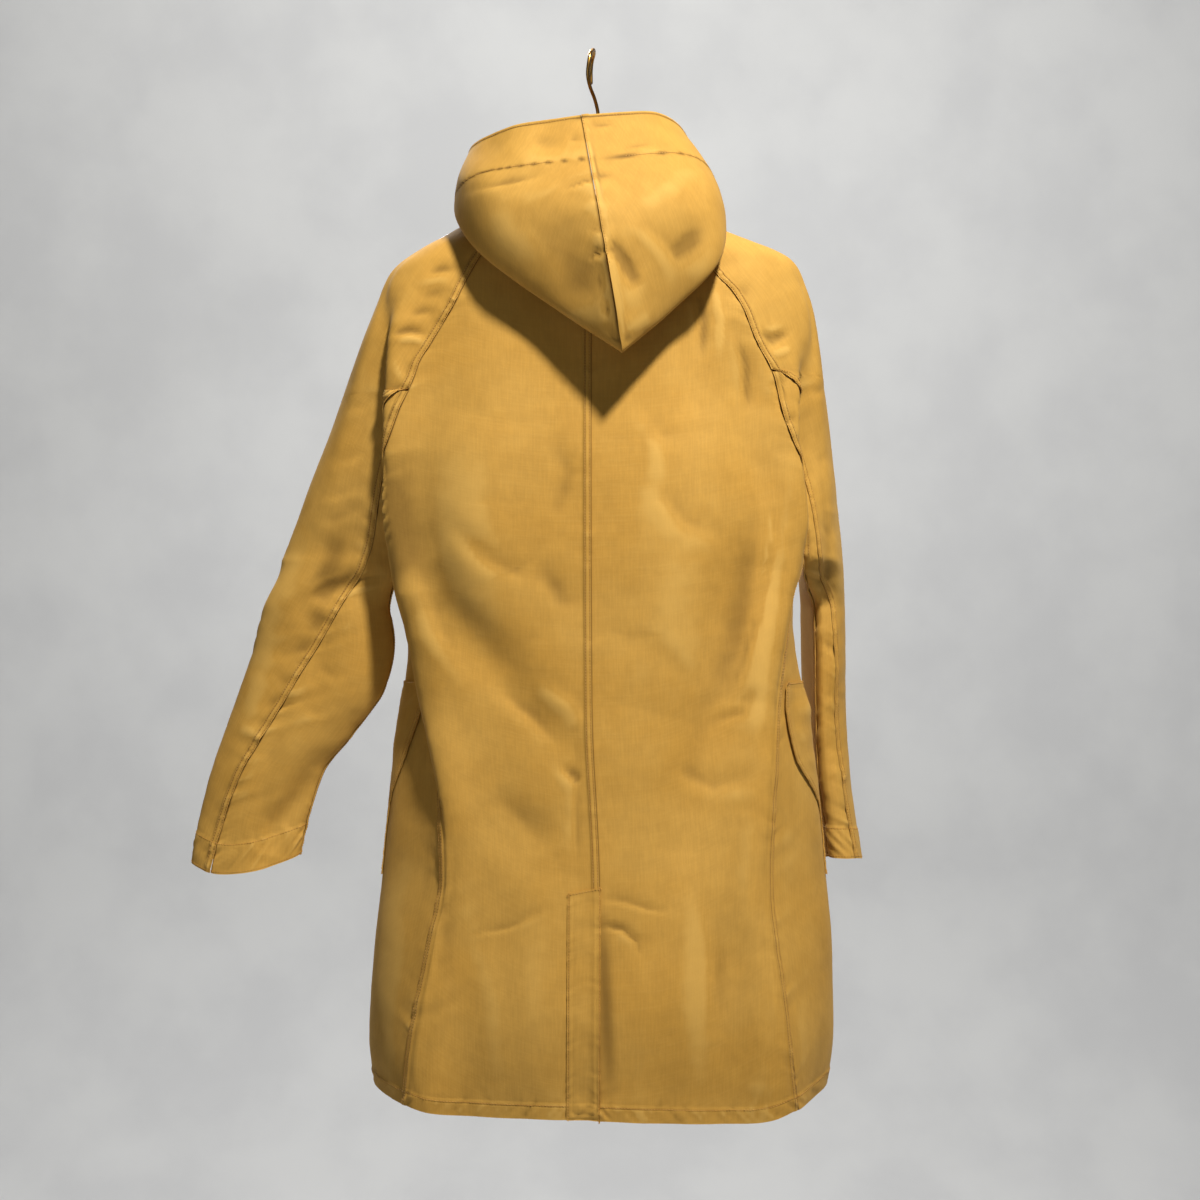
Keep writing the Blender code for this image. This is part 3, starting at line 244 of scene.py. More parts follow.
# The station that meets each place of the neck seam, as a share of its length from the centre front.
hoodStation = ((0, 0), (0.31, 1.2), (0.41, 1.7), (0.55, 2.55), (0.62, 3.05), (0.7, 3.7), (0.84, 5.0), (1, 6))

# The side pockets: how far their rear edge lies from the side seam, by height, which makes the mouth's slope.
pocketTable = {
    "left": Table("z rear", [(-676, 6), (-704, 10), (-768, 45), (-834, 94), (-868, 104), (-904, 106)]),
    "right": Table("z rear", [(-676, 5), (-704, 6), (-768, 28), (-834, 94), (-868, 104), (-904, 106)])}
pocketFromCentre = 95.0              # the pocket's front edge, from the centre front
buttonCount = 5
ventLeft, ventRight = 33.0, 2.0      # the vent strip's edges from the centre back seam
placketHalf = 29.0
hookPath = ((0, 17.9, -30), (0, 17.95, -16), (1, 15.5, -7), (3, 9, -0.6), (3, 0, 1.95), (1, -9, -0.6),
             (-1, -15.5, -7), (-2.5, -17.95, -16), (-3.5, -17, -29), (-1, -12.5, -41), (4, -6, -53),
             (7.4, -1.5, -66), (8, 0, -82), (8, 3, -110), (8, 5, -149.4))


def nearPath(path, x, z):
    # For each place its distance from a path, how far along it (0 to 1), and which side of it, in mm.
    points = np.array(path, float)
    lengths = np.hypot(*np.diff(points, axis=0).T)
    before = np.concatenate([[0], np.cumsum(lengths)])
    shape = np.broadcast(x, z).shape
    best, along, signed = np.full(shape, np.inf), np.zeros(shape), np.zeros(shape)
    for start, end, length, passed in zip(points, points[1:], lengths, before):
        run = (end - start) / length
        t = np.clip((x - start[0]) * run[0] + (z - start[1]) * run[1], 0, length)
        offX, offZ = x - start[0] - t * run[0], z - start[1] - t * run[1]
        away = np.hypot(offX, offZ)
        nearer = away < best
        along = np.where(nearer, (passed + t) / before[-1], along)
        signed = np.where(nearer, offX * run[1] - offZ * run[0], signed)
        best = np.minimum(best, away)
    return best, along, signed


def tapered(along, end, power):
    # 1 in the middle of a path and small at its ends.
    return np.sin(np.pi * np.clip(along, end, 1 - end)) ** power


def folds(table, x, z):
    # The height of the folds at places given as seen along +Y.
    height = np.zeros(np.broadcast(x, z).shape)
    for half, depth, path in table:
        best, along, _ = nearPath(path, x, z)
        height += depth * np.exp(-(best / half) ** 2) * tapered(along, 0.06, 0.6)
    return height


def ovalY(x, wide, deep):
    # How far a body section stands out from its middle line at x.
    across, depth = ovalPowers
    return deep * np.maximum(1 - np.clip(x / wide, 0, 1) ** across, 0) ** (1 / depth)


def thread(points, leave, arrive, t):
    # A smooth curve through the points, read at t from 0 to the last point's number.
    gaps = [np.sqrt(np.linalg.norm(b - a, axis=0) + 1e-6) for a, b in zip(points, points[1:])]
    slopes = [leave / gaps[0]]
    for i in range(1, len(points) - 1):
        before = (points[i] - points[i - 1]) / gaps[i - 1]
        after = (points[i + 1] - points[i]) / gaps[i]
        slopes.append((before * gaps[i] + after * gaps[i - 1]) / (gaps[i - 1] + gaps[i]))
    slopes.append(arrive / gaps[-1])
    out = np.zeros_like(points[0])
    part = np.clip(np.floor(t), 0, len(gaps) - 1).astype(int)
    for i, gap in enumerate(gaps):
        piece = hermite(points[i], points[i + 1], slopes[i] * gap, slopes[i + 1] * gap, t - i)
        out = np.where(part == i, piece, out)
    return out


# Where a section's points stand, as shares of the way: out to the shoulder's tip for the edge and the seam,
# out to the edge for the body's own points, and from the seam to the crest for the upper arm's.
edgeShare, seamShare = 0.86, 0.955
bodyShares = (0, 0.42, 0.78)
armShares = (0.36, 0.76)
armDepth, armRise = 0.2, 0.24         # how far back or forward the arm starts, and its rise to the crest
armFront = 44                         # the least depth of the upper arm in front of its crest
frontFoldShare = 0.8                  # the front's folds mirror the back's, this much as high


def controls(side, z):
    # The points that a section passes through: the back, the sleeve and the front, each as (x, y).
    rows, crest, ring = sideTable[side], crestTable[side], sleeveTable[side]
    back, front = depthTable.read("back", z), depthTable.read("front", z)
    top = np.array([crest.read("x", z), crest.read("y", z)])

    def shoulder(share, deep):
        x = top[0] * share
        return np.array([x, top[1] + np.sign(deep) * ovalY(x, top[0], abs(deep - top[1]))])

    start, full = creaseTable[side]
    arm = 1 - ease(z, full, start)

    def blend(share, deep, x, y):
        return mix(shoulder(share, deep), np.array([x, y]), arm)

    edge = blend(edgeShare, -back, rows.read("edgeX", z), rows.read("edgeY", z))
    seam = blend(seamShare, -back, rows.read("seamX", z), rows.read("seamY", z))
    fold = blend(seamShare, front, rows.read("foldX", z), rows.read("foldY", z))
    rim = blend(edgeShare, front, rows.read("frontX", z), rows.read("frontY", z))
    wide = mix(top[0], rows.read("wide", z), arm)

    def body(share, reach, deep):
        x = reach[0] * share
        return np.array([x, np.sign(deep) * ovalY(x, wide, abs(deep))])

    backs = [body(share, edge, -back) for share in bodyShares] + [edge, seam]
    fronts = [fold, rim] + [body(share, rim, front) for share in bodyShares[::-1]]
    near, far = armShares
    armY = mix(top[1] - (top[1] + back) * armDepth, rows.read("armY", z), arm)
    backArm = [np.array([mix(seam[0], top[0], near), armY]),
               np.array([mix(seam[0], top[0], far), mix(armY, top[1], armRise)])]
    frontY = mix(top[1] + (front - top[1]) * armDepth, np.maximum(fold[1], top[1] + armFront), arm)
    frontArm = [np.array([mix(fold[0], top[0], far), mix(frontY, top[1], armRise)]),
                np.array([mix(fold[0], top[0], near), frontY])]
    sleeve = [seam] + backArm + [top] + frontArm + [fold]
    ringed = ease(-z, -underarmZ - 6, -sleeveRingZ)
    seamTurn = sleeveSeamTurn[side]
    turns = [mix(seamTurn, 180, i / 3) for i in range(4)]
    turns += [mix(180, 360 + seamTurn, i / 3) for i in (1, 2, 3)]
    turned = np.radians(ring.read("turn", z))
    for i, degrees in enumerate(turns):
        across = -ring.read("across", z) * math.cos(math.radians(degrees))
        deep = -ring.read("deep", z) * math.sin(math.radians(degrees))
        onRing = np.array([ring.read("x", z) + across * np.cos(turned) - deep * np.sin(turned),
                           ring.read("y", z) + across * np.sin(turned) + deep * np.cos(turned)])
        sleeve[i] = mix(sleeve[i], onRing, ringed)
    return backs, sleeve, fronts


def settle(part, z, around):
    # Below the underarm the body and the sleeve are rings of their own: a round past the seam comes back in.
    if part == "body":
        looped = np.where((around > 4) & (around < 6), around + 4,
                          np.where((around >= 6) & (around < 8), around - 4, around))
    else:
        looped = np.where(around < 4, around + 4, np.where(around > 8, around - 4, around))
    return np.where(z < underarmZ + 1, looped, np.clip(around, 0, 12))


def section(side, z, around, part):
    # Outward distance and depth of the bare skin, with no folds.
    around = settle(part, z, around)
    backs, sleeve, fronts = controls(side, z)
    start, full = creaseTable[side]
    soft = ease(z, full, start)                        # 1 where the sleeve flows into the back
    closed = ease(-z, 530, -underarmZ)                # 1 where the body is a ring of its own
    intoSeam, outOfSeam = backs[4] - backs[3], sleeve[1] - sleeve[0]
    flow = (sleeve[1] - backs[3]) / 2
    level = np.array([1.0, 0.0]).reshape((2,) + (1,) * np.ndim(z))
    frontFlow = (fronts[1] - sleeve[5]) / 2 * mix(level, 1.0, soft)
    ringFlow = (fronts[1] - backs[3]) / 2
    sleeveFlow = (sleeve[1] - sleeve[5]) / 2
    backEnd = mix(mix(intoSeam, flow, soft), ringFlow, closed)
    frontStart = mix(frontFlow, ringFlow, closed)
    ringed = ease(-z, -underarmZ - 6, -sleeveRingZ)
    sleeveStart = mix(mix(mix(outOfSeam, flow, soft), outOfSeam, closed), sleeveFlow, ringed)
    sleeveEnd = mix(mix(frontFlow, sleeve[6] - sleeve[5], closed), sleeveFlow, ringed)
    backCurve = thread(backs, level * backs[1][0], backEnd, np.clip(around, 0, 4))
    sleeveCurve = thread(sleeve, sleeveStart, sleeveEnd, np.clip(around - 4, 0, 4) * 1.5)
    frontCurve = thread(fronts, frontStart, -level * fronts[3][0], np.clip(around - 8, 0, 4))
    return np.where(around < 4, backCurve, np.where(around < 8, sleeveCurve, frontCurve))


def skin(side, z, around, part):
    # Points of the outer skin with its folds, in millimetres. The part is the body or the sleeve.
    z, around = np.broadcast_arrays(np.asarray(z, float), np.asarray(around, float))
    around = settle(part, z, around)
    sign = -1.0 if side == "left" else 1.0
    out, y = section(side, z, around, part)
    centre = smooth(*np.array(centreBackX, float).T, z)
    wide = sideTable[side].read("wide", z)
    x = sign * out + centre * np.clip(1 - out / wide, 0, 1)
    sleevePart = ease(around, 4.0, 4.4) * (1 - ease(around, 5.9, 6.4))
    bodyPart = (1 - ease(around, 3.3, 4.0)) * ease(-z, 240, 300) * (1 - ease(-z, 1080, 1130))
    height = folds(backFolds, x, z) * bodyPart + folds(sleeveFolds[side], x, z) * sleevePart
    mirrored = ease(around, 8.6, 9.4) * ease(-z, 300, 380) * (1 - ease(-z, 1080, 1130))
    height = height + frontFoldShare * folds(backFolds, -x, z) * mirrored
    nudge = 0.02          # of a round, to either side, for the way the skin faces
    run = section(side, z, around + nudge, part) - section(side, z, around - nudge, part)
    height = height / (np.hypot(run[0], run[1]) + 1e-9)
    return np.stack([x + sign * run[1] * height, y - run[0] * height, z], axis=-1)


lastRaglanRound, halvings = 3.6, 40       # the seam lies before this round, and how finely it is sought
seamLead = 0.16          # how far, in rounds, the elbow seam starts beyond the raglan seam


def raglanRounds(side):
    # The raglan seam's round at each row of its table, found by halving.
    heights = raglanTable[side].z
    low, high = np.zeros(len(heights)), np.full(len(heights), lastRaglanRound)
    for _ in range(halvings):
        middle = (low + high) / 2
        short = section(side, heights, middle, "body")[0] < raglanTable[side].columns["x"]
        low, high = np.where(short, middle, low), np.where(short, high, middle)
    return heights, (low + high) / 2


def seamTables():
    # The rounds of the back raglan, front raglan and sleeve back seam down each side.
    tables = {}
    for side in ("left", "right"):
        heights, rounds = raglanRounds(side)
        backZ = np.concatenate([raglanEnd[0], heights])
        back = np.concatenate([raglanEnd[1], rounds])
        elbowZ = np.concatenate([elbowSeam[side].z, [elbowSeamTop[side]]])
        topRound = float(smooth(backZ, back, elbowSeamTop[side])) + seamLead
        elbow = np.concatenate([elbowSeam[side].columns["round"], [topRound]])
        tables[side] = {"back": (backZ, back), "front": (backZ, 12 - back), "elbow": (elbowZ, elbow)}
    return tables


seamRounds = seamTables()


def seam(side, name, z):
    # A seam's round at a height.
    heights, rounds = seamRounds[side][name]
    return smooth(heights, rounds, z)


def byRound(edge, around):
    # The height of a cut edge at a round.
    return smooth(*np.array(edge, float).T, around)


def rowHeight(side, z, around):
    # The height of a row's point: rows near a cut edge follow that edge.
    neck = collarZ + (z - collarZ) * (byRound(neckEdge, around) - collarZ) / (neckZ - collarZ)
    hem = hemFromZ + (z - hemFromZ) * (byRound(hemEdge[side], around) - hemFromZ) / (hemZ - hemFromZ)
    return np.where(z > collarZ, neck, np.where(z < hemFromZ, hem, z))


def cuffHeight(side, z, around):
    # The same on a sleeve, whose last rows follow the cuff.
    edge = byRound(cuffEdge[side], around)
    cuff = cuffFromZ + (z - cuffFromZ) * (edge - cuffFromZ) / (cuffZ - cuffFromZ)
    return np.where(z < cuffFromZ, cuff, rowHeight(side, z, around))


def seamOnRow(side, name, z, heightOf):
    # The seam's round where it crosses a row.
    around = seam(side, name, z)
    for _ in range(6):
        around = seam(side, name, heightOf(side, z, around))
    return around


print("skin ready")

# Creases laid over the skin, seen along +Y: half width, depth (a valley is < 0), lean (one flank up, the
# other down) and path as (x, z).
backCreases = [
    (5, -2.2, 1.2, ((-216, -318), (-196, -314), (-176, -318))),
    (5, 1.6, 0, ((-206, -325), (-190, -323), (-176, -329))),
    (4, 1.6, 0.8, ((-210, -340), (-204, -360), (-203, -376))),
    (7, -2.0, 0.8, ((-178, -252), (-160, -246), (-142, -250))),
    (8, -1.8, -0.8, ((-190, -276), (-165, -270), (-146, -282))),
    (6, -1.6, 0.8, ((-196, -298), (-178, -292), (-164, -300))),
    (10, -2.0, 1.0, ((-150, -520), (-110, -560), (-64, -580))),
    (12, 1.8, 1.0, ((-196, -560), (-172, -640), (-128, -700))),
    (9, -1.8, 0.8, ((-106, -690), (-60, -726), (-24, -764))),
    (6, -2.4, 1.0, ((-30, -776), (-12, -796))),
    (10, 1.8, 0.8, ((-60, -690), (-24, -716), (-6, -740))),
    (14, -1.8, 0.6, ((-60, -560), (-30, -600), (-8, -610))),
    (12, -1.6, 0.8, ((60, -470), (100, -520), (150, -540))),
    (12, -1.0, -0.5, ((24, -636), (64, -650), (116, -700))),
    (14, 2.4, 0.8, ((206, -470), (196, -560), (182, -660), (176, -760))),
    (6, -1.6, 0.8, ((176, -690), (160, -720), (132, -730))),
    (7, -2.0, 0.8, ((112, -262), (120, -300), (118, -350))),
    (5, 1.6, 0.8, ((134, -268), (140, -306), (138, -340))),
    (6, -2.0, 1.0, ((154, -310), (166, -352), (168, -410))),
    (5, -2.4, 1.2, ((214, -312), (196, -320), (182, -316))),
    (5, 1.6, 0, ((218, -330), (200, -338), (190, -332))),
    (6, -1.8, 1.0, ((214, -356), (200, -372), (206, -396))),
    (8, -1.8, 0.8, ((176, -262), (158, -272), (146, -262))),
    (3.2, -1.4, 0.5, ((10, -917), (34, -918), (62, -927), (82, -930))),
    (3.2, -2.4, 0.8, ((4, -948), (20, -945), (34, -948), (48, -960), (54, -980))),
    (22, -2.4, 0, ((14, -915), (18, -1000), (24, -1060), (30, -1142))),
    (34, 5.0, 0, ((-52, -880), (-62, -980), (-66, -1060), (-62, -1140))),
    (30, -5.0, 0, ((-170, -840), (-166, -960), (-172, -1060), (-176, -1130))),
    (30, 4.0, 0, ((110, -860), (104, -980), (108, -1060), (112, -1130))),
    (26, -3.6, 0, ((176, -840), (166, -960), (160, -1060), (160, -1120))),
    (50, 7.0, 0, ((60, -420), (72, -540), (84, -640), (60, -730))),
    (30, -5.0, 0, ((186, -400), (176, -540), (154, -640), (118, -740), (92, -850))),
    (4, -1.6, 0.8, ((204, -440), (196, -540), (178, -620), (150, -700))),
    (44, 6.0, 0, ((-110, -400), (-140, -500), (-120, -590), (-60, -650))),
    (40, -6.0, 0, ((-212, -440), (-206, -520), (-196, -600))),
    (3.4, -1.2, 0.5, ((-128, -956), (-84, -946), (-44, -926))),
    (5, -1.4, 0.6, ((-16, -740), (-14, -812), (-15, -909))),
    (14, -2.2, 1.2, ((-106, -806), (-70, -836), (-38, -868))),
    (16, -2.0, 1.0, ((-170, -880), (-150, -960), (-148, -1040))),
    (16, 2.0, 0.8, ((-112, -960), (-100, -1030), (-96, -1110))),
    (14, -2.0, 1.0, ((120, -900), (132, -980), (128, -1070))),
    (14, 2.0, 0.8, ((170, -820), (164, -900), (170, -980))),
    (10, -1.6, 0.8, ((90, -780), (130, -800), (176, -790))),
    (12, -1.6, -0.8, ((-40, -420), (-20, -470), (-34, -520))),
    (12, 1.4, 0.8, ((40, -400), (70, -440), (76, -500))),
]

# The front's creases are like the back's, on the other side, but for those that the vent makes.
ventCreasesFrom = -840
frontCreases = [row for row in backCreases if row[3][0][1] > ventCreasesFrom]

# Painted shade on the skirt behind the vent's free edge, where it lies in the strip's shadow, as deeper
# colour: half, share, lean, path.
ventPaintedShade = [(9, 0.75, 0, ((10, -905), (13, -960), (17, -1040), (22, -1140)))]

# The creases of each sleeve, on the side that shows.
sleeveCreases = {
    "left": [
        (6, -1.43, 0.77, ((-330, -612), (-306, -597), (-268, -589), (-232, -566))),
        (6, 1.1, 0.44, ((-318, -596), (-290, -580), (-262, -576))),
        (7, -1.21, 0.66, ((-300, -520), (-270, -512), (-244, -500))),
        (6, 0.99, 0.55, ((-296, -500), (-262, -492), (-242, -484))),
        (7, -1.1, 0.55, ((-290, -456), (-264, -450), (-238, -440))),
        (6, -0.99, 0.55, ((-272, -398), (-250, -394), (-232, -384))),
        (7, -1.32, 0.66, ((-352, -668), (-330, -660), (-300, -652))),
        (6, 0.99, 0.44, ((-350, -648), (-324, -640), (-292, -640))),
        (6, -1.21, 0.66, ((-300, -672), (-280, -690), (-262, -684))),
        (7, -1.32, 0.66, ((-372, -724), (-350, -716), (-322, -712))),
        (6, -1.21, 0.55, ((-322, -716), (-300, -730), (-286, -726))),
        (6, 0.99, 0.55, ((-390, -750), (-360, -742), (-336, -740))),
        (6, -1.21, 0.66, ((-398, -780), (-372, -772), (-344, -770))),
        (5, -0.99, 0.55, ((-404, -816), (-380, -810), (-352, -806))),
        (8, -1.21, 0.33, ((-300, -792), (-318, -818), (-345, -850), (-358, -890))),
        (10, 1.8, 0.8, ((-344, -560), (-364, -640), (-386, -700))),
        (24, -9.0, 0, ((-262, -500), (-286, -580), (-300, -660), (-296, -740))),
        (20, 6.0, 0, ((-318, -500), (-346, -600), (-372, -720), (-396, -820))),
        (16, -5.0, 0, ((-330, -700), (-352, -790), (-372, -880))),
    ],
    "right": [
        (7, -1.1, 0.55, ((240, -380), (256, -372), (268, -380))),
        (7, -1.1, 0.55, ((244, -452), (260, -446), (278, -456))),
        (6, -0.99, 0.55, ((250, -520), (266, -530), (282, -524))),
        (6, 0.99, 0.44, ((250, -560), (266, -556), (284, -566))),
        (7, -1.1, 0.66, ((252, -612), (268, -606), (286, -616))),
        (6, -0.99, 0.55, ((254, -664), (270, -672), (288, -664))),
        (6, -1.1, 0.66, ((256, -716), (270, -708), (288, -720))),
        (6, -0.99, 0.55, ((258, -764), (274, -772), (290, -764))),
        (6, 0.88, 0.55, ((258, -800), (272, -794), (292, -806))),
        (9, -5.0, 0, ((252, -420), (262, -540), (264, -680), (270, -800))),
    ]}

# The hood's own: the sharp tucks by its seam, the hollow beside the small lip, and the folds at its tip.
hoodCreases = [
    (2.6, -2.6, 1.0, ((-30, -176), (-12, -169), (4, -165), (16, -163), (27, -163))),
    (3, -1.4, 0.5, ((30, -131), (56, -124), (84, -126))),
    (3, -1.6, 0.6, ((-26, -119), (-12, -117), (-3, -118))),
    (2.6, -1.4, 0.6, ((2, -104), (14, -102), (28, -101))),
    (22, 3.0, 0, ((-2, -120), (4, -165), (12, -215), (24, -268), (34, -330))),
    (3, 2.0, 0.6, ((8, -214), (14, -240), (22, -270), (30, -304), (34, -330))),
    (34, -5.5, 0, ((-52, -176), (-34, -214), (-14, -262), (2, -300))),
    (24, -2.4, 0.5, ((-110, -108), (-94, -140), (-84, -184))),
    (16, -2.4, 0.6, ((-62, -110), (-46, -122), (-24, -128))),
    (2.6, -3.8, 2.4, ((-2, -247), (10, -245), (20, -246), (28, -241))),
    (7, -4.0, 1.0, ((16, -228), (26, -240), (36, -256), (44, -282))),
    (9, 1.6, 0.5, ((24, -212), (50, -220), (74, -244), (88, -276))),
    (3.4, -1.8, 1.2, ((36, -262), (46, -270), (54, -264))),
    (3, -2.2, 1.4, ((6, -272), (14, -274), (22, -271))),
    (3, -2.0, 1.4, ((8, -298), (16, -302), (26, -299))),
    (3, -1.8, 1.2, ((0, -222), (8, -221), (14, -223))),
    (2.6, -1.6, 1.0, ((14, -318), (22, -321), (32, -319))),
    (5, 2.6, 1.0, ((36, -322), (48, -316), (62, -308))),
    (3, -2.6, 1.4, ((14, -334), (28, -333), (46, -332))),
    (4, -2.0, 1.0, ((50, -322), (62, -326), (72, -318))),
    (14, -2.6, 0.8, ((84, -250), (104, -232), (122, -206))),
    (16, 1.6, 0.4, ((44, -204), (80, -172), (122, -140))),
    (18, 2.4, 0.6, ((-110, -190), (-86, -216), (-48, -252))),
    (4, -1.6, 0.7, ((-132, -170), (-96, -166), (-50, -158))),
]


creaseLook = {
    "narrow": 4.5,          # a tuck whose half width is less has a sharp bottom
    "sharpPower": 1.25,
    "softPower": 2.0,
    "leanReach": 1.5,       # how far the lean goes, in half widths
}


def creased(table, x, z):
    # Like folds, with a lean: across the path one flank rises and the other sinks.
    look = creaseLook
    height = np.zeros(np.broadcast(x, z).shape)
    for half, deep, lean, path in table:
        best, along, signed = nearPath(path, x, z)
        u = best / half
        power = look["sharpPower"] if half < look["narrow"] else look["softPower"]
        leaning = lean * signed / half * np.exp(-(u / look["leanReach"]) ** 2)
        height += (deep * np.exp(-u ** power) + leaning) * tapered(along, 0.03, 0.8)
    return height


def ripple(s, seed, lengths=(9.0, 13.0, 18.5, 31.0)):
    # A wavering line, between about -1 and 1.
    random = np.random.default_rng(seed)
    total = np.zeros(np.shape(s))
    for length in lengths:
        wave = 2 * np.pi * s / (length * random.uniform(0.9, 1.1))
        total = total + np.sin(wave + random.uniform(0, 6.28))
    return total / len(lengths) * 1.4


def crumple(points, size, seed, stretch=(1.0, 1.0, 1.0), count=22):
    # Soft random hills in space, about -1 to 1, with hills of the given size.
    random = np.random.default_rng(seed)
    total = np.zeros(points.shape[:-1])
    for _ in range(count):
        direction = random.normal(size=3)
        direction /= np.linalg.norm(direction)
        wave = direction * 2 * np.pi / (size * random.uniform(0.7, 1.6)) / np.array(stretch)
        total += np.sin(points @ wave + random.uniform(0, 6.28))
    return total / math.sqrt(count)


def rowLengths(points):
    # The way along each row of a grid, from its first point.
    steps = np.linalg.norm(np.diff(points, axis=1), axis=2)
    return np.concatenate([np.zeros((len(points), 1)), np.cumsum(steps, axis=1)], axis=1)


def unit(vectors):
    return vectors / (np.linalg.norm(vectors, axis=-1, keepdims=True) + 1e-9)


def gridFacing(points, outward, at):
    # The grid's own directions; outward is a rough direction at one of its points.
    across, down = np.gradient(points, axis=1), np.gradient(points, axis=0)
    facing = unit(np.cross(down, across))
    return facing if np.dot(facing[at], outward) > 0 else -facing


def blurred(cells, steps):
    # A box blur of a grid, twice.
    for _ in range(2):
        for axis in (0, 1):
            padded = np.concatenate([np.repeat(np.take(cells, [0], axis), steps, axis), cells,
                                     np.repeat(np.take(cells, [-1], axis), steps, axis)], axis)
            total = np.cumsum(padded, axis=axis)
            total = np.concatenate([np.zeros_like(np.take(total, [0], axis)), total], axis)
            size = 2 * steps + 1
            low = np.take(total, range(0, cells.shape[axis]), axis)
            high = np.take(total, range(size, size + cells.shape[axis]), axis)
            cells = (high - low) / size
    return cells


# distances from a seam at which a row has a point, in mm
nearSeam = np.array([0, 0.6, 1.3, 2.2, 3.4, 4.7, 5.6, 6.2, 6.8, 7.6, 8.6, 10.5, 13, 16, 20.0])


def spread(total, middle):
    # Distances along a row of this length: close by both seams and even between.
    near = nearSeam * min(1.0, 0.4 * total / nearSeam[-1])
    between = np.linspace(near[-1], total - near[-1], middle + 2)[1:-1]
    return np.concatenate([near, between, total - near[::-1]])


probes = 140             # how many points of a row are tried to find even distances


def patchGrid(side, part, heights, first, last, middle, heightOf=rowHeight):
    # Rounds and heights of a fine patch, a row for each height, from one seam to the other.
    share = np.linspace(0, 1, probes)
    rounds = first[:, None] + (last - first)[:, None] * share
    levels = heightOf(side, heights[:, None], rounds)
    length = rowLengths(skin(side, levels, rounds, part))
    placed = np.array([np.interp(spread(run[-1], middle), run, turn)
                       for run, turn in zip(length, rounds)])
    return placed, heightOf(side, heights[:, None], placed)


slantWindow = 9          # rows over which the slant of an edge is evened out
stitchLift = 0.25        # how far a stitch's middle stands over the cloth
tooNarrow = 2.2          # a row shorter than this many distances gets no stitch


def placeOver(gaps, cells, faces, distance):
    # The place just over the cloth at a distance along one line of it.
    return [np.interp(distance, gaps, cells[:, k]) + stitchLift * np.interp(distance, gaps, faces[:, k])
            for k in range(3)]


class Sheet:
    # A grid of points with its outward directions and its distances from each edge along the cloth.

    def __init__(self, points, facing):
        self.points, self.facing = points, facing
        self.base = points.copy()
        self.along = rowLengths(points)
        self.first = self.along * self.slant(0, 1)[:, None]
        self.last = (self.along[:, -1:] - self.along) * self.slant(-1, -2)[:, None]
        self.down = rowLengths(points.transpose(1, 0, 2)).T
        self.bottom = self.down[-1:] - self.down
        self.height = np.zeros(points.shape[:2])
        # The painted shade: how much the colour is darkened in stitch rows, grooves and recesses, where shade
        # falls.
        self.dark = np.zeros(points.shape[:2])

    def slant(self, edge, inner):
        # How much shorter the square distance to an edge is than the way along the row.
        edgeRun = unit(np.gradient(self.points[:, edge], axis=0))
        rowRun = unit(self.points[:, inner] - self.points[:, edge])
        sine = np.clip(np.linalg.norm(np.cross(edgeRun, rowRun), axis=-1), 0.35, 1)
        window = np.ones(slantWindow) / slantWindow
        return np.convolve(np.pad(sine, slantWindow // 2, mode="edge"), window, mode="valid")

    def edgeRun(self, column):
        # The way along a side edge, for the puckers.
        steps = np.linalg.norm(np.diff(self.base[:, column], axis=0), axis=-1)
        return np.concatenate([[0], np.cumsum(steps)])[:, None]

    def moveOut(self):
        # Sets the points out by their heights.
        self.points = self.base + self.facing * self.height[..., None]

    def cutSize(self, long=None):
        # The width, length and area of the piece laid flat, in metres, measured on the part's own surface.
        wide = float(self.along[:, -1].max())
        long = long or float(self.down[-1].max())
        steps = np.diff(self.base, axis=0)[:, :-1], np.diff(self.base, axis=1)[:-1]
        area = float(np.linalg.norm(np.cross(*steps), axis=-1).sum())
        return round(wide / 1000, 3), round(long / 1000, 3), round(min(area, 0.99 * wide * long) / 1e6, 4)

    def overRows(self, distance, edge="first", low=-2000, high=0, rows=None):
        # A line over the cloth at a distance from a side edge, between two heights.
        step = 1 if edge == "first" else -1
        gaps = self.first if edge == "first" else self.last
        line = []
        for i in rows or range(len(self.points)):
            z = self.base[i, ::step][0, 2]
            run = gaps[i][::step]
            if low <= z <= high and run[-1] > tooNarrow * distance:
                line.append(placeOver(run, self.points[i][::step], self.facing[i][::step], distance))
        return np.array(line)

    def overColumns(self, distance, edge="bottom", trim=0):
        # A line over the cloth at a distance from its bottom row, or from its top one.
        step = -1 if edge == "bottom" else 1
        gaps = self.bottom if edge == "bottom" else self.down
        return np.array([placeOver(gaps[::step, j], self.points[::step, j], self.facing[::step, j], distance)
                         for j in range(trim, self.points.shape[1] - trim)])


def bell(distance, at, width):
    # 1 at a distance, falling off smoothly to both sides.
    return np.exp(-((distance - at) / width) ** 2)


# Felled seams: one side laps over the other and is stitched twice.
seamLook = {
    "bandWidth": 6.9,       # from the lapped edge to where the turned-under cloth ends
    "bandHeight": 1.3,
    "stitchNear": 1.4,      # the two rows of stitches, from the lapped edge
    "stitchFar": 5.9,
    "groove": 0.5,
    "grooveWidth": 0.8,
    "reach": 9.0,           # how far short puckers run from a seam
    "longReach": 26.0,
    "puckers": (0.8, 0.55, 1.1),      # the share of the short ones, of those in the band and of the long ones
    "underStep": 0.3,       # how far the side that runs under sinks by the seam
}


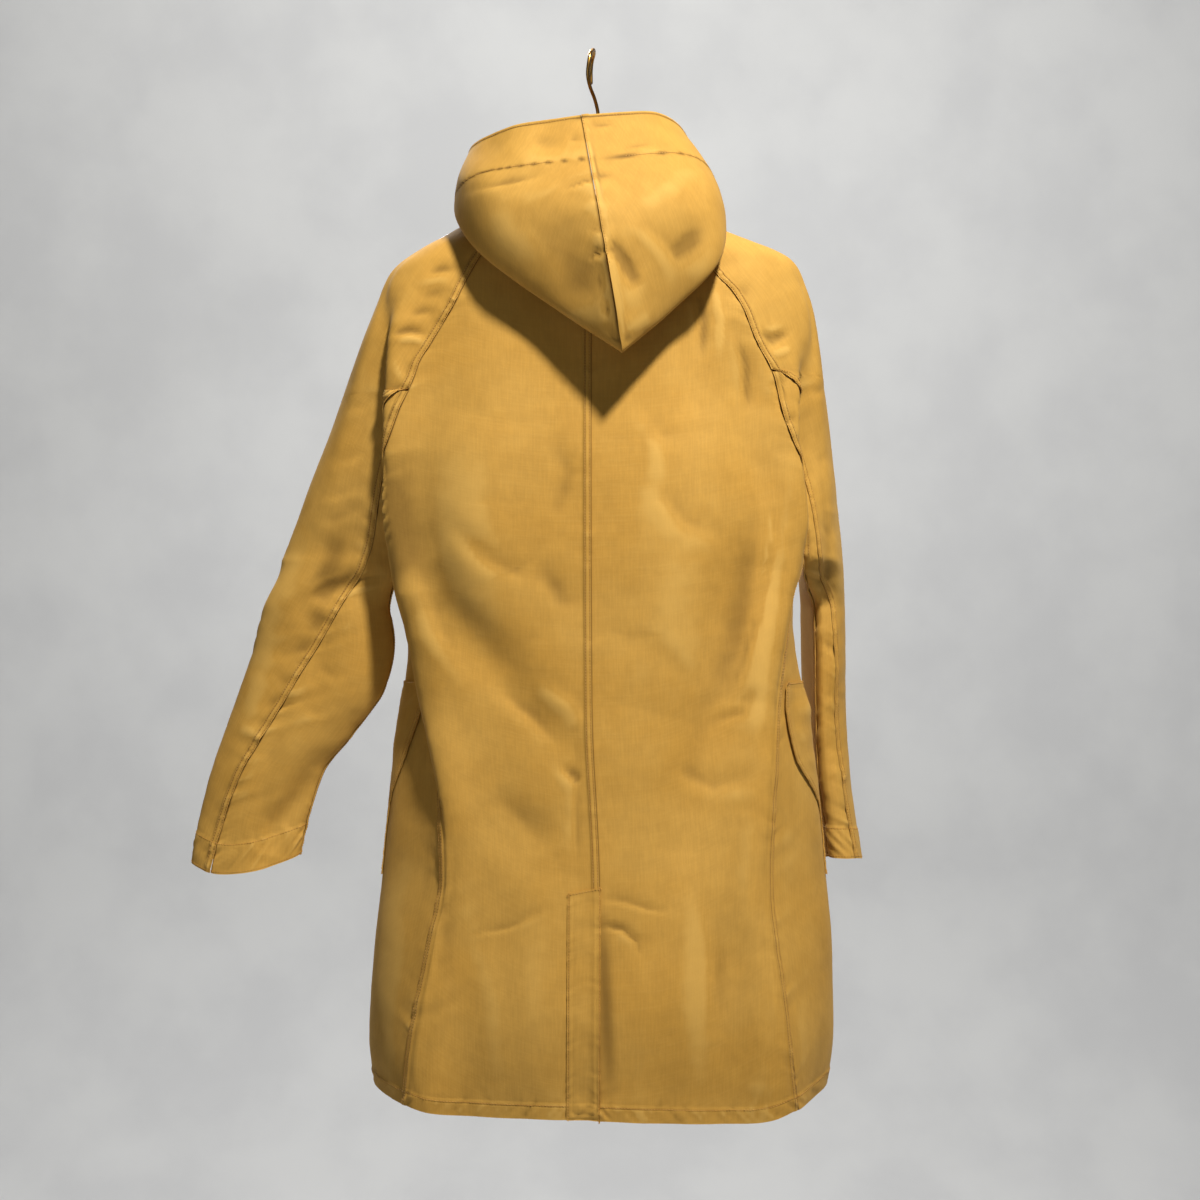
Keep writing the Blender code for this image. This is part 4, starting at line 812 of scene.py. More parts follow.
def seamRelief(distance, s, over, strength, seed):
    # over is 1 where this side laps, 0 where it runs under. strength is the puckers' height.
    look = seamLook
    band = look["bandHeight"] * (1 - ease(distance, look["bandWidth"] - 0.2, look["bandWidth"] + 1.5))
    groove = bell(distance, look["stitchNear"], look["grooveWidth"])
    groove = groove + bell(distance, look["stitchFar"], look["grooveWidth"])
    slanted = s + 0.5 * distance
    short = ripple(slanted, seed) * np.exp(-(distance / look["reach"]))
    inBand = ripple(slanted, seed + 1, (6.0, 8.5, 12.0)) * (1 - ease(distance, 5.5, 8.5)) * over
    longer = ripple(slanted * 0.9, seed + 2, (24.0, 37.0, 55.0)) * np.exp(-(distance / look["longReach"]))
    uneven = 0.6 + 0.5 * ripple(s, seed + 3, (90.0, 140.0))
    shares = look["puckers"]
    pucker = shares[0] * short + shares[1] * inBand + shares[2] * longer
    pucker = strength * np.clip(uneven, 0.15, 1.3) * pucker
    sunk = (1 - over) * look["underStep"] * bell(distance, 0, 1.6)
    return over * (band - look["groove"] * groove) + pucker - sunk


def seamShade(distance, over):
    # Painted shade: the colour is darkened in the rows of stitches and along the lapped band's edge, and by
    # the seam on the side that runs under, where shade falls.
    look = seamLook
    rows = [bell(distance, look[key], 0.75) for key in ("stitchNear", "stitchFar")]
    edge = np.exp(-((distance - look["bandWidth"] - 0.9) / 0.9) ** 2)
    lapped = over * (0.5 * rows[0] + 0.75 * rows[1] + 0.35 * edge)
    return np.clip(lapped + (1 - over) * bell(distance, 0, 1.1), 0, 1)


hemLook = {
    "hemStitch": 16.0,      # above the cut edge
    "cuffStitch": 35.0,
    "hemHeight": 0.8,
    "roping": 0.9,
    "grooveBelow": 1.2,     # the stitched groove runs this far under the turned cloth's end
    "groove": 0.4,
    "shade": 0.6,
}


def edgeRelief(distance, s, stitch, strength, seed):
    # A turned edge: a thicker band with slanting ropes, a stitched groove and puckers above it.
    look = hemLook
    band = look["hemHeight"] * (1 - ease(distance, stitch - 0.3, stitch + 1.6))
    groove = look["groove"] * np.exp(-((distance - stitch + look["grooveBelow"]) / 0.9) ** 2)
    inside = np.sin(np.pi * np.clip(distance / stitch, 0, 1)) ** 0.7 * (distance < stitch)
    ropes = ripple(s + 0.8 * distance, seed, (10.0, 14.0, 21.0)) * inside * look["roping"]
    above = np.exp(-np.abs(distance - stitch) / 10.0)
    puckers = ripple(s - 0.4 * distance, seed + 5, (12.0, 17.0, 25.0)) * above
    wave = ripple(s, seed + 6, (60.0, 95.0)) * np.exp(-distance / 60.0)
    return band - groove + strength * (ropes + 0.7 * puckers + 1.2 * wave)


# How uneven all the cloth is: (height, size, seed, stretch) of soft random hills, in mm.
clothHills = ((1.5, 150, 5, (1, 1, 2.2)), (0.4, 58, 6, (1, 1, 1.6)), (0.06, 15, 7, (1.2, 1.2, 1)))
creaseShare = {"front": 0.55, "sleeve": 0.6, "sleeveFront": 0.35}
frontShift = (-6, 9)     # the front's creases are moved by this, so that they don't mirror the back's


def panelRelief(sheet, side, isSleeve=False):
    # The listed creases and the soft unevenness that all cloth here has.
    x, z = sheet.base[..., 0], sheet.base[..., 2]
    backward = ease(-sheet.facing[..., 1], 0.05, 0.5)
    forward = ease(sheet.facing[..., 1], 0.05, 0.5)
    front = creased(frontCreases, -x + frontShift[0], z + frontShift[1])
    hand = creased(backCreases, x, z) * backward + creaseShare["front"] * front * forward
    if isSleeve:
        least = creaseShare["sleeveFront"]
        own = creased(sleeveCreases[side], x, z) * (least + (1 - least) * backward)
        hand = hand * ease(z, -420, -330) + creaseShare["sleeve"] * own
    hills = [high * crumple(sheet.base, size, seed, stretch) for high, size, seed, stretch in clothHills]
    return hand + sum(hills)


bodyHeights = np.concatenate([np.arange(neckZ, -1116, -2.9), np.arange(-1117, hemZ - 0.01, -1.65)])
bodyHeights[-1] = hemZ
sleeveHeights = np.concatenate([np.arange(neckZ, -852, -2.7), np.arange(-853, cuffZ - 0.01, -1.8)])
sleeveHeights[-1] = cuffZ

# The first seed of each edge's puckers. The back's, front's and sleeve's also depend on the side.
puckerSeed = {"centre": 11, "backRaglan": 21, "backHem": 31, "frontRaglan": 41, "frontHem": 51, "elbow": 61,
              "frontSleeve": 71, "upperCuff": 81, "underSleeve": 91, "underCuff": 101, "hoodSeam": 111,
              "hoodFacing": 121, "pocket": 131, "vent": 141, "placket": 151}


def seedOf(edge, side):
    return puckerSeed[edge] + len(side)


def panelSheet(side, part, z, first, last, middle, outward, heightOf=rowHeight):
    # A panel between two seams, with no relief yet.
    rounds, levels = patchGrid(side, part, z, first, last, middle, heightOf)
    points = skin(side, levels, rounds, part)
    return Sheet(points, gridFacing(points, outward, (len(z) // 3, len(rounds[0]) // 2)))


def turnHem(sheet, side, strength, seed):
    # The turned and stitched hem along the bottom of a body panel.
    s = sheet.base[..., 0] * (-1 if side == "left" else 1)
    sheet.height += edgeRelief(sheet.bottom, s, hemLook["hemStitch"], strength, seed)
    # Painted shade: the colour is darkened in the hem's stitched groove.
    groove = np.exp(-((sheet.bottom - hemLook["hemStitch"] + hemLook["grooveBelow"]) / 0.8) ** 2)
    sheet.dark = np.maximum(sheet.dark, hemLook["shade"] * groove)


def cuffRelief(sheet, seed):
    return edgeRelief(sheet.bottom, sheet.along, hemLook["cuffStitch"], 0.6, seed)


def makeBodySheets():
    made = {}
    z = bodyHeights
    overUnderarm = z > underarmZ
    for side in ("left", "right"):
        edge = np.where(overUnderarm, seamOnRow(side, "back", z, rowHeight), sideSeam)
        sheet = panelSheet(side, "body", z, np.zeros(len(z)), edge, 34, (0, -1, 0))
        low = 1 - ease(z, underarmZ - 4, underarmZ + 4)[:, None]
        lap = 1.0 if side == "left" else 0.0
        centre = seamRelief(sheet.first, sheet.edgeRun(0), lap, 0.3, puckerSeed["centre"])
        raglan = seamRelief(sheet.last, sheet.edgeRun(-1), 0.0, 0.5 + 0.1 * low, seedOf("backRaglan", side))
        sideBand = low * seamLook["bandHeight"] * (1 - ease(sheet.last, 6.7, 8.4))
        sheet.height = panelRelief(sheet, side) + centre + (raglan + sideBand)
        # Painted shade by the centre back seam and by the raglan or side seam.
        sheet.dark = np.maximum(seamShade(sheet.first, lap), seamShade(sheet.last, low))
        if side == "right":
            # Painted shade on the right skirt behind the vent's free edge.
            ventShade = creased(ventPaintedShade, sheet.base[..., 0], sheet.base[..., 2])
            sheet.dark = np.clip(np.maximum(sheet.dark, ventShade), 0, 1)
        turnHem(sheet, side, 0.8, seedOf("backHem", side))
        sheet.moveOut()
        made["back_" + side] = sheet

        edge = np.where(overUnderarm, seamOnRow(side, "front", z, rowHeight), 8.0)
        sheet = panelSheet(side, "body", z, edge, np.full(len(z), 12.0), 36, (0, 1, 0))
        raglan = seamRelief(sheet.first, sheet.edgeRun(0), 0.0, 0.5, seedOf("frontRaglan", side))
        sheet.height = (panelRelief(sheet, side) + raglan) * (0.25 + 0.75 * ease(sheet.last, 10, 60))
        # Painted shade by the front raglan seam, on the side that runs under.
        sheet.dark = seamShade(sheet.first, 0.0)
        turnHem(sheet, side, 0.7, seedOf("frontHem", side))
        sheet.moveOut()
        made["front_" + side] = sheet
    return made


def makeSleeveSheets():
    made = {}
    for side in ("left", "right"):
        top = elbowSeamTop[side]

        def onRow(name, z):
            return seamOnRow(side, name, z, cuffHeight)

        z = sleeveHeights
        elbow = np.where(z > top, onRow("back", z), onRow("elbow", z))
        inner = np.where(z > underarmZ, onRow("front", z), sleeveSeam)
        outward = (-1.0 if side == "left" else 1.0, 0, 0)
        sheet = panelSheet(side, "sleeve", z, elbow, inner, 40, outward, cuffHeight)
        turn = ease(sheet.base[..., 2], -700, -560)
        plain = 1.0 if side == "left" else 0.45 + 0.55 * ease(sheet.base[..., 2], -470, -400)
        elbowRelief = seamRelief(sheet.first, sheet.edgeRun(0), 1.0, 1.0, seedOf("elbow", side))
        frontRelief = seamRelief(sheet.last, sheet.edgeRun(-1), 1.0, 0.5, seedOf("frontSleeve", side))
        frontRelief = frontRelief * (0.5 + 0.5 * turn)
        cuff = cuffRelief(sheet, seedOf("upperCuff", side))
        sheet.height = panelRelief(sheet, side, True) + elbowRelief * plain + frontRelief + cuff
        # Painted shade by the elbow seam and the front seam.
        sheet.dark = np.maximum(seamShade(sheet.first, 1.0) * plain, seamShade(sheet.last, 1.0))
        sheet.moveOut()
        made["sleeve_%s_upper" % side] = sheet

        z = sleeveHeights[sleeveHeights <= top + 0.5]
        outer = np.where(z > top, onRow("back", z) + seamLead, onRow("elbow", z))
        start = np.where(z > underarmZ, onRow("back", z), 4.0)
        sheet = panelSheet(side, "sleeve", z, start, outer, 22, (0, -1, 0), cuffHeight)
        over = ease(z, underarmZ - 4, underarmZ + 4)[:, None]
        backRelief = seamRelief(sheet.first, sheet.edgeRun(0), over, 0.6, seedOf("underSleeve", side))
        elbowRelief = seamRelief(sheet.last, sheet.edgeRun(-1), 0.0, 0.9, seedOf("elbow", side))
        cuff = cuffRelief(sheet, seedOf("underCuff", side))
        sheet.height = panelRelief(sheet, side, True) + backRelief + elbowRelief + cuff
        # Painted shade by the under sleeve's two seams.
        sheet.dark = np.maximum(seamShade(sheet.first, over), seamShade(sheet.last, 0.0))
        sheet.moveOut()
        made["sleeve_%s_under" % side] = sheet
    return made


hoodLook = {
    "facing": 56.0,         # the facing's stitch line, from the opening's edge
    "edgeStitch": 3.0,
    "neckPoints": 112,
    "ribs": ((0, 3.2, 18), (3.3, 4.7, 18), (4.74, 5.9, 32)),     # from, to and how many, up the hood
    "lastRibs": [5.93, 5.95, 5.965, 5.98, 5.99, 6],              # close together by the opening's edge
    "halfSeam": 0.8,        # each half starts this far from the middle at the neck
    "long": 360.0,          # a half's cut length, from the neck over the bag to the edge
}


def hoodNeck(side, sheets):
    # The neck seam that a hood half is sewn to, evenly spaced, and the hood's station at each of its points.
    rows = [sheets[key % side].base[0][::-1][::2] for key in ("front_%s", "sleeve_%s_upper", "back_%s")]
    neck = np.concatenate([rows[0]] + [row[1:] for row in rows[1:]])
    length = np.concatenate([[0], np.cumsum(np.linalg.norm(np.diff(neck, axis=0), axis=1))])
    keep = np.concatenate([[True], np.diff(length) > 0.4])
    neck, length = neck[keep], length[keep]
    even = np.linspace(0, length[-1], hoodLook["neckPoints"])
    neck = np.stack([np.interp(even, length, neck[:, k]) for k in range(3)], axis=-1)
    return neck + (0, 0, 0.7), byRound(hoodStation, even / even[-1])


def makeHoodSheets(sheets):
    made = {}
    for side in ("left", "right"):
        names, rows = hoodTable[side]
        columns = dict(zip(names.split(), np.array(rows, float).T))
        neck, stations = hoodNeck(side, sheets)

        def guide(kind):
            line = [np.array([columns[kind + axis][i] for axis in "XYZ"])[:, None] for i in range(len(rows))]
            return thread(line, line[1] - line[0], line[-1] - line[-2], stations).T

        fold, middle, edge = guide("fold"), guide("mid"), guide("edge")
        away = unit(neck * (1, 1, 0))
        up = np.stack([0 * stations, 0 * stations, byRound(hoodStand, stations)], axis=-1)
        rolled = [neck + away * 2 + up * 0.7, neck + away * 9 + up]
        rolled.append(mix(rolled[1], fold, 0.5) + up * 0.25)
        behind = ease(stations, 1.0, 2.8)[:, None]
        inside = [mix(mix(neck, fold, share), place, behind)
                  for share, place in zip((0.25, 0.5, 0.75), rolled)]
        guides = [line.T for line in [neck] + inside + [fold, middle, edge]]
        ribs = np.concatenate([np.linspace(*run) for run in hoodLook["ribs"]] + [hoodLook["lastRibs"]])
        leave, arrive = guides[1] - guides[0], guides[6] - guides[5]
        points = np.array([thread(guides, leave, arrive, np.full(len(stations), t)).T for t in ribs])
        points[:, 0, 0] += hoodLook["halfSeam"] * (1 if side == "right" else -1)
        sheet = Sheet(points, gridFacing(points, (0, 1, 0), (1, 1)))
        x, z = sheet.base[..., 0], sheet.base[..., 2]
        shows = ease(ribs, 3.9, 4.3)[:, None]
        lap = 1.0 if side == "right" else 0.0
        seam = seamRelief(sheet.last, sheet.edgeRun(-1), lap, 0.55, puckerSeed["hoodSeam"])
        facing, edgeStitch = hoodLook["facing"], hoodLook["edgeStitch"]
        line = -0.8 * bell(sheet.bottom, facing, 1.2) + 0.6 * (1 - ease(sheet.bottom, facing, facing + 1.5))
        pucker = ripple(sheet.along, puckerSeed["hoodFacing"], (14.0, 22.0, 31.0))
        pucker = 0.1 * pucker * np.exp(-np.abs(sheet.bottom - facing) / 7.0)
        lip = 0.5 * (1 - ease(sheet.bottom, 2.6, 5.0)) - 0.35 * bell(sheet.bottom, edgeStitch, 0.8)
        soft = 0.5 * crumple(sheet.base, 80, 15) + 0.1 * crumple(sheet.base, 24, 16)
        height = shows * (creased(hoodCreases, x, z) + seam + line + pucker + lip + soft)
        height = height + (1 - shows) * 0.6 * soft * ease(sheet.down, 0, 20)
        sheet.height = height * (1 - 0.85 * bell(sheet.last, 0, 14) * (1 - shows))
        # Painted shade by the hood's centre seam and in the stitch grooves of the facing and the edge.
        stitched = np.exp(-((sheet.bottom - facing + 0.2) / 1.1) ** 2) + bell(sheet.bottom, edgeStitch, 0.9)
        sheet.dark = shows * np.clip(np.maximum(seamShade(sheet.last, lap) * 0.8, 0.95 * stitched), 0, 1)
        sheet.moveOut()
        made["hood_" + side] = sheet
    return made


def linear(hexColour):
    # An sRGB hex value as the linear colour that a shader takes.
    parts = [int(hexColour[i:i + 2], 16) / 255 for i in (1, 3, 5)]
    return tuple(c / 12.92 if c <= 0.04045 else ((c + 0.055) / 1.055) ** 2.4 for c in parts) + (1.0,)


def addNode(tree, kind, settings=None, inputs=None):
    # A node with its settings. An input is a number, a hex colour, or another node's output, which is linked.
    node = tree.nodes.new(kind)
    for name, value in (settings or {}).items():
        setattr(node, name, value)
    for name, value in (inputs or {}).items():
        if isinstance(value, bpy.types.NodeSocket):
            tree.links.new(value, node.inputs[name])
        else:
            node.inputs[name].default_value = linear(value) if isinstance(value, str) else value
    return node


def layer(tree, below, above, pattern, low, high, least=0.0, most=1.0):
    # One colour laid over another where a pattern lies between two values.
    share = addNode(tree, "ShaderNodeMapRange", {"interpolation_type": "SMOOTHSTEP"},
                    {"Value": pattern, "From Min": low, "From Max": high, "To Min": least, "To Max": most})
    both = addNode(tree, "ShaderNodeMix", {"data_type": "RGBA", "clamp_factor": True},
                   {0: share.outputs["Result"], 6: below, 7: above})
    return both.outputs[2]


def newTree(name):
    made = bpy.data.materials.new(name)
    made.use_nodes = True
    made.node_tree.nodes.clear()
    place = addNode(made.node_tree, "ShaderNodeTexCoord")
    return made, made.node_tree, place.outputs["Object"]


def shaded(made, inputs):
    # The material with its shader: numbers, and what feeds it.
    shader = addNode(made.node_tree, "ShaderNodeBsdfPrincipled", None, inputs)
    addNode(made.node_tree, "ShaderNodeOutputMaterial", None, {"Surface": shader.outputs["BSDF"]})
    return made


clothLook = {
    "dyed": "#BB8C38",          # mustard, as dyed
    "faded": "#CFA452",         # where wear and washing have lifted the colour
    "deep": "#5C400B",          # a darker tone for the mottle and uneven yarns, and the painted shade inside seams, stitch rows and creases
    "threadSpacing": 0.0009,    # real yarns are about 0.45 mm apart: drawn twice as coarse, to show
    "slub": 0.0016,             # the thickness of an uneven yarn
    "weaveDepth": 0.00006,
    "roughness": 0.78,
}
waveScale = 0.314               # a wave texture of scale 1 has a band in each 0.314 m


def clothMaterial():
    # Garment-washed cotton canvas: matt, with a fine plain weave, uneven yarns, faded ridges, and painted
    # shade in seams, stitch rows and creases.
    look = clothLook
    made, tree, place = newTree("washedCottonCanvas")
    cloth = addNode(tree, "ShaderNodeUVMap", {"uv_map": "cloth"}).outputs["UV"]
    worn = addNode(tree, "ShaderNodeAttribute", {"attribute_name": "worn"}).outputs["Fac"]
    # The deep attribute is painted shade, from the grooves, seams and stitch rows.
    deep = addNode(tree, "ShaderNodeAttribute", {"attribute_name": "deep"}).outputs["Fac"]
    dye = addNode(tree, "ShaderNodeTexNoise", None,
                  {"Vector": place, "Scale": 7.0, "Detail": 4.0, "Roughness": 0.6}).outputs["Fac"]
    mottle = addNode(tree, "ShaderNodeTexNoise", None,
                     {"Vector": place, "Scale": 55.0, "Detail": 5.0, "Roughness": 0.62}).outputs["Fac"]
    yarns = []                  # the weft's uneven yarns run across, the warp's down
    for scale in ((28.0, 1 / look["slub"] / 1.6, 1.0), (1 / look["slub"] / 1.3, 34.0, 1.0)):
        drawn = addNode(tree, "ShaderNodeMapping", None, {"Vector": cloth, "Scale": scale})
        yarn = addNode(tree, "ShaderNodeTexNoise", None, {
            "Vector": drawn.outputs["Vector"], "Scale": 1.0, "Detail": 3.0, "Roughness": 0.55})
        yarns.append(yarn.outputs["Fac"])
    waves = [addNode(tree, "ShaderNodeTexWave", {"wave_type": "BANDS", "bands_direction": direction},
                     {"Vector": cloth, "Scale": waveScale / look["threadSpacing"], "Distortion": 1.2,
                      "Detail": 1.0, "Detail Scale": 0.6}).outputs["Fac"] for direction in ("X", "Y")]
    weave = addNode(tree, "ShaderNodeMath", {"operation": "MAXIMUM"}, {0: waves[0], 1: waves[1]})
    colour = layer(tree, look["dyed"], look["faded"], dye, 0.35, 0.68, 0.0, 0.3)
    colour = layer(tree, colour, look["deep"], mottle, 0.38, 0.62, 0.07, 0.0)
    colour = layer(tree, colour, look["faded"], yarns[0], 0.42, 0.7, 0.0, 0.1)
    colour = layer(tree, colour, look["deep"], yarns[1], 0.4, 0.62, 0.07, 0.0)
    colour = layer(tree, colour, look["faded"], worn, 0.55, 1.0, 0.0, 0.55)
    # Painted shade: darker colour where the deep attribute marks grooves, seams and stitch rows.
    colour = layer(tree, colour, look["deep"], deep, 0.0, 1.0, 0.0, 0.8)
    both = addNode(tree, "ShaderNodeMath", {"operation": "ADD"}, {0: yarns[0], 1: yarns[1]})
    bump = addNode(tree, "ShaderNodeBump", None,
                   {"Height": weave.outputs[0], "Strength": 0.35, "Distance": look["weaveDepth"]})
    for height, distance in ((both.outputs[0], 0.0003), (mottle, 0.0005)):
        bump = addNode(tree, "ShaderNodeBump", None, {
            "Height": height, "Strength": 0.3, "Distance": distance, "Normal": bump.outputs["Normal"]})
    return shaded(made, {
        "Base Color": colour, "Normal": bump.outputs["Normal"], "Roughness": look["roughness"], "IOR": 1.5,
        "Specular IOR Level": 0.28, "Sheen Weight": 0.08, "Sheen Roughness": 0.45, "Sheen Tint": "#F2D9A8"})


def threadMaterial():
    # Polyester core thread in the cloth's own colour: a little smoother and lighter than the cloth.
    made, tree, place = newTree("corespunThread")
    twist = addNode(tree, "ShaderNodeTexWave", {"wave_type": "BANDS", "bands_direction": "DIAGONAL"},
                    {"Vector": place, "Scale": 900.0, "Distortion": 2.0}).outputs["Fac"]
    fade = addNode(tree, "ShaderNodeTexNoise", None, {"Vector": place, "Scale": 30.0, "Detail": 3.0})
    colour = layer(tree, "#B27A24", "#CF9A48", fade.outputs["Fac"], 0.35, 0.65)
    colour = layer(tree, colour, "#7A4E12", twist, 0.2, 0.8, 0.25, 0.0)
    bump = addNode(tree, "ShaderNodeBump", None, {"Height": twist, "Strength": 0.4, "Distance": 0.0002})
    return shaded(made, {"Base Color": colour, "Normal": bump.outputs["Normal"], "Roughness": 0.55,
                         "IOR": 1.53, "Specular IOR Level": 0.4, "Sheen Weight": 0.1})


def brassMaterial():
    # Drawn brass wire, lacquered and handled: a warm metal with faint draw lines and dull spots.
    made, tree, place = newTree("drawnBrassWire")
    tarnish = addNode(tree, "ShaderNodeTexNoise", None,
                      {"Vector": place, "Scale": 90.0, "Detail": 4.0}).outputs["Fac"]
    lines = addNode(tree, "ShaderNodeTexNoise", None, {"Vector": place, "Scale": 1400.0, "Detail": 2.0})
    dull = addNode(tree, "ShaderNodeMapRange", {"interpolation_type": "SMOOTHSTEP"},
                   {"Value": tarnish, "From Min": 0.3, "From Max": 0.75, "To Min": 0.2, "To Max": 0.45})
    bump = addNode(tree, "ShaderNodeBump", None,
                   {"Height": lines.outputs["Fac"], "Strength": 0.15, "Distance": 0.0001})
    return shaded(made, {"Base Color": layer(tree, "#C79A55", "#8C6428", tarnish, 0.35, 0.7), "Metallic": 1.0,
                         "Roughness": dull.outputs["Result"], "Normal": bump.outputs["Normal"]})


def woodMaterial():
    # Plain hardwood under satin varnish, with fine grain along the bar.
    made, tree, place = newTree("varnishedHangerWood")
    along = addNode(tree, "ShaderNodeMapping", None, {"Vector": place, "Scale": (6.0, 90.0, 90.0)})
    grain = addNode(tree, "ShaderNodeTexNoise", None, {
        "Vector": along.outputs["Vector"], "Scale": 3.0, "Detail": 6.0, "Distortion": 0.4}).outputs["Fac"]
    bump = addNode(tree, "ShaderNodeBump", None, {"Height": grain, "Strength": 0.2, "Distance": 0.0002})
    return shaded(made, {"Base Color": layer(tree, "#8A5A30", "#C08F5A", grain, 0.3, 0.7), "Roughness": 0.42,
                         "IOR": 1.5, "Coat Weight": 0.25, "Coat Roughness": 0.2,
                         "Normal": bump.outputs["Normal"]})


def hornMaterial():
    # Pressed horn-look resin: dark brown with streaks, polished on the rim.
    made, tree, place = newTree("brownButtonResin")
    streak = addNode(tree, "ShaderNodeTexNoise", None, {
        "Vector": place, "Scale": 160.0, "Detail": 4.0, "Distortion": 1.6}).outputs["Fac"]
    bump = addNode(tree, "ShaderNodeBump", None, {"Height": streak, "Strength": 0.1, "Distance": 0.0001})
    return shaded(made, {"Base Color": layer(tree, "#2A1A10", "#6A4526", streak, 0.35, 0.7), "Roughness": 0.3,
                         "IOR": 1.52, "Coat Weight": 0.2, "Normal": bump.outputs["Normal"]})


cotton = clothMaterial()
sewingThread = threadMaterial()
brass = brassMaterial()
wood = woodMaterial()
horn = hornMaterial()
print("materials ready")


def newPiece(name, data):
    piece = bpy.data.objects.new(name, data)
    bpy.context.scene.collection.objects.link(piece)
    return piece


def solidMesh(name, points, faces, finish, sharpFrom=None):
    # A closed mesh from points in mm, its faces turned outwards.
    mesh = bpy.data.meshes.new(name)
    mesh.from_pydata((points.reshape(-1, 3) * mm).tolist(), [], faces)
    work = bmesh.new()
    work.from_mesh(mesh)
    bmesh.ops.recalc_face_normals(work, faces=work.faces)
    work.to_mesh(mesh)
    work.free()
    mesh.materials.append(finish)
    mesh.shade_smooth()
    if sharpFrom:
        mesh.set_sharp_from_angle(angle=math.radians(sharpFrom))
    return mesh


def ringFaces(count, sides):
    # The faces between rings of points.
    return [(i + j, i + (j + 1) % sides, i + sides + (j + 1) % sides, i + sides + j)
            for i in range(0, (count - 1) * sides, sides) for j in range(sides)]


shellLook = {
    "thickness": 1.0,
    "sharpFrom": 50,        # degrees between two faces that makes their edge a sharp one
}


def shellMesh(name, outer, inner, uv, attributes):
    # A closed thin shell between two grids of points in mm, with its cloth map, and its wear and painted
    # shade as attributes.
    rows, columns = outer.shape[:2]
    count = rows * columns
    cell = np.arange(count).reshape(rows, columns)
    a, b, c, d = [part.ravel() for part in (cell[:-1, :-1], cell[:-1, 1:], cell[1:, 1:], cell[1:, :-1])]
    top = np.stack([a, b, c, d], axis=1)
    under = np.stack([d, c, b, a], axis=1) + count
    edge = np.concatenate([cell[0, :], cell[1:, -1], cell[-1, -2::-1], cell[-2:0:-1, 0]])
    after = np.roll(edge, -1)
    rim = np.stack([after, edge, edge + count, after + count], axis=1)
    faces = np.concatenate([top, under, rim])
    points = np.concatenate([outer.reshape(-1, 3), inner.reshape(-1, 3)]) * mm
    mesh = bpy.data.meshes.new(name)
    mesh.from_pydata(points.tolist(), [], faces.tolist())
    both = np.concatenate([uv.reshape(-1, 2)] * 2)
    mesh.uv_layers.new(name="cloth").data.foreach_set("uv", both[faces.ravel()].ravel().astype(np.float32))
    for key, values in attributes.items():
        stored = mesh.attributes.new(key, "FLOAT", "POINT")
        stored.data.foreach_set("value", np.concatenate([values.ravel()] * 2).astype(np.float32))
    mesh.materials.append(cotton)
    mesh.shade_smooth()
    mesh.set_sharp_from_angle(angle=math.radians(shellLook["sharpFrom"]))
    outward = Vector((outer - inner)[rows // 2, columns // 2])
    if mesh.polygons[len(top) // 2].normal.dot(outward) < 0:
        mesh.flip_normals()
    return mesh


lappedFirst = ("back_left", "sleeve_left_upper", "sleeve_right_upper")      # their first edge is a folded one
wearAndShadeLook = {
    "plain": 0.45,          # how worn flat cloth is
    "ridge": 0.6,           # how much more for each mm that a ridge stands out
    "edge": 0.95,
    "groove": 0.8,          # painted shade for each mm of a groove past the first tenth or so
    "shallow": 0.12,
    "deepest": 0.6,
}


def wearAndPaintedShade(sheet, key):
    # Ridges and folded edges are faded by wear, and the bottoms of grooves and creases get painted shade,
    # along with the sheet's own.
    look = wearAndShadeLook
    bumps = sheet.height - blurred(sheet.height, 3)
    edge = np.minimum(sheet.bottom, sheet.first if key in lappedFirst else 99)
    worn = np.maximum(np.clip(look["plain"] + bumps * look["ridge"], 0, 1), look["edge"] * bell(edge, 0, 0.9))
    # Painted shade: darker colour in the bottoms of grooves and creases.
    deep = np.clip(-bumps * look["groove"] - look["shallow"], 0, 1) * look["deepest"]
    return {"worn": worn, "deep": np.maximum(deep, sheet.dark)}


def clothPiece(key, sheet):
    # One cut piece of the coat: its shell, its place in the frame and the size it was cut to.
    words = key.split("_")
    name = words[0] + "".join(word.capitalize() for word in words[1:])
    wide, long, area = sheet.cutSize(hoodLook["long"] if "hood" in key else None)
    inner = sheet.points - sheet.facing * shellLook["thickness"]
    uv = np.stack([sheet.along, sheet.down], axis=-1) * mm
    piece = newPiece(name, shellMesh(name, sheet.points, inner, uv, wearAndPaintedShade(sheet, key)))
    nodes = [key] + ([key.replace("upper", "lower")] if "upper" in key else [])
    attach(piece, "root")
    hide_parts(*nodes)
    print(name, "cut", wide, "by", long, "m, area", area)


sheets = makeBodySheets()
sheets.update(makeSleeveSheets())
sheets.update(makeHoodSheets(sheets))
for key, sheet in sheets.items():
    clothPiece(key, sheet)
print("cloth shells made")


patchLook = {
    "lift": 1.6,             # from the panel's face to a pocket's
    "stripLift": 1.7,        # and to the vent strip's and the placket's
    "stitchFromEdge": 1.6,
    "rowsApart": 4.6,        # between a pocket's two rows of stitches
    "puff": 1.4,             # how much a pocket stands off in its middle
    "gape": 2.4,             # and at its rear edge, by the mouth
    "gapeReach": 12.0,
    "ventStandsOff": 4.6,    # the vent strip's free edge, from the skirt behind it
    "ventSlant": 7.0,        # how much lower the strip's top starts on its sewn side
}
# Distances from a patch's edge at which it has points, in mm.
patchEdge = np.array([0, 0.5, 1.2, 2.0, 3.0, 4.2, 5.2, 6.0, 6.8, 8.0])


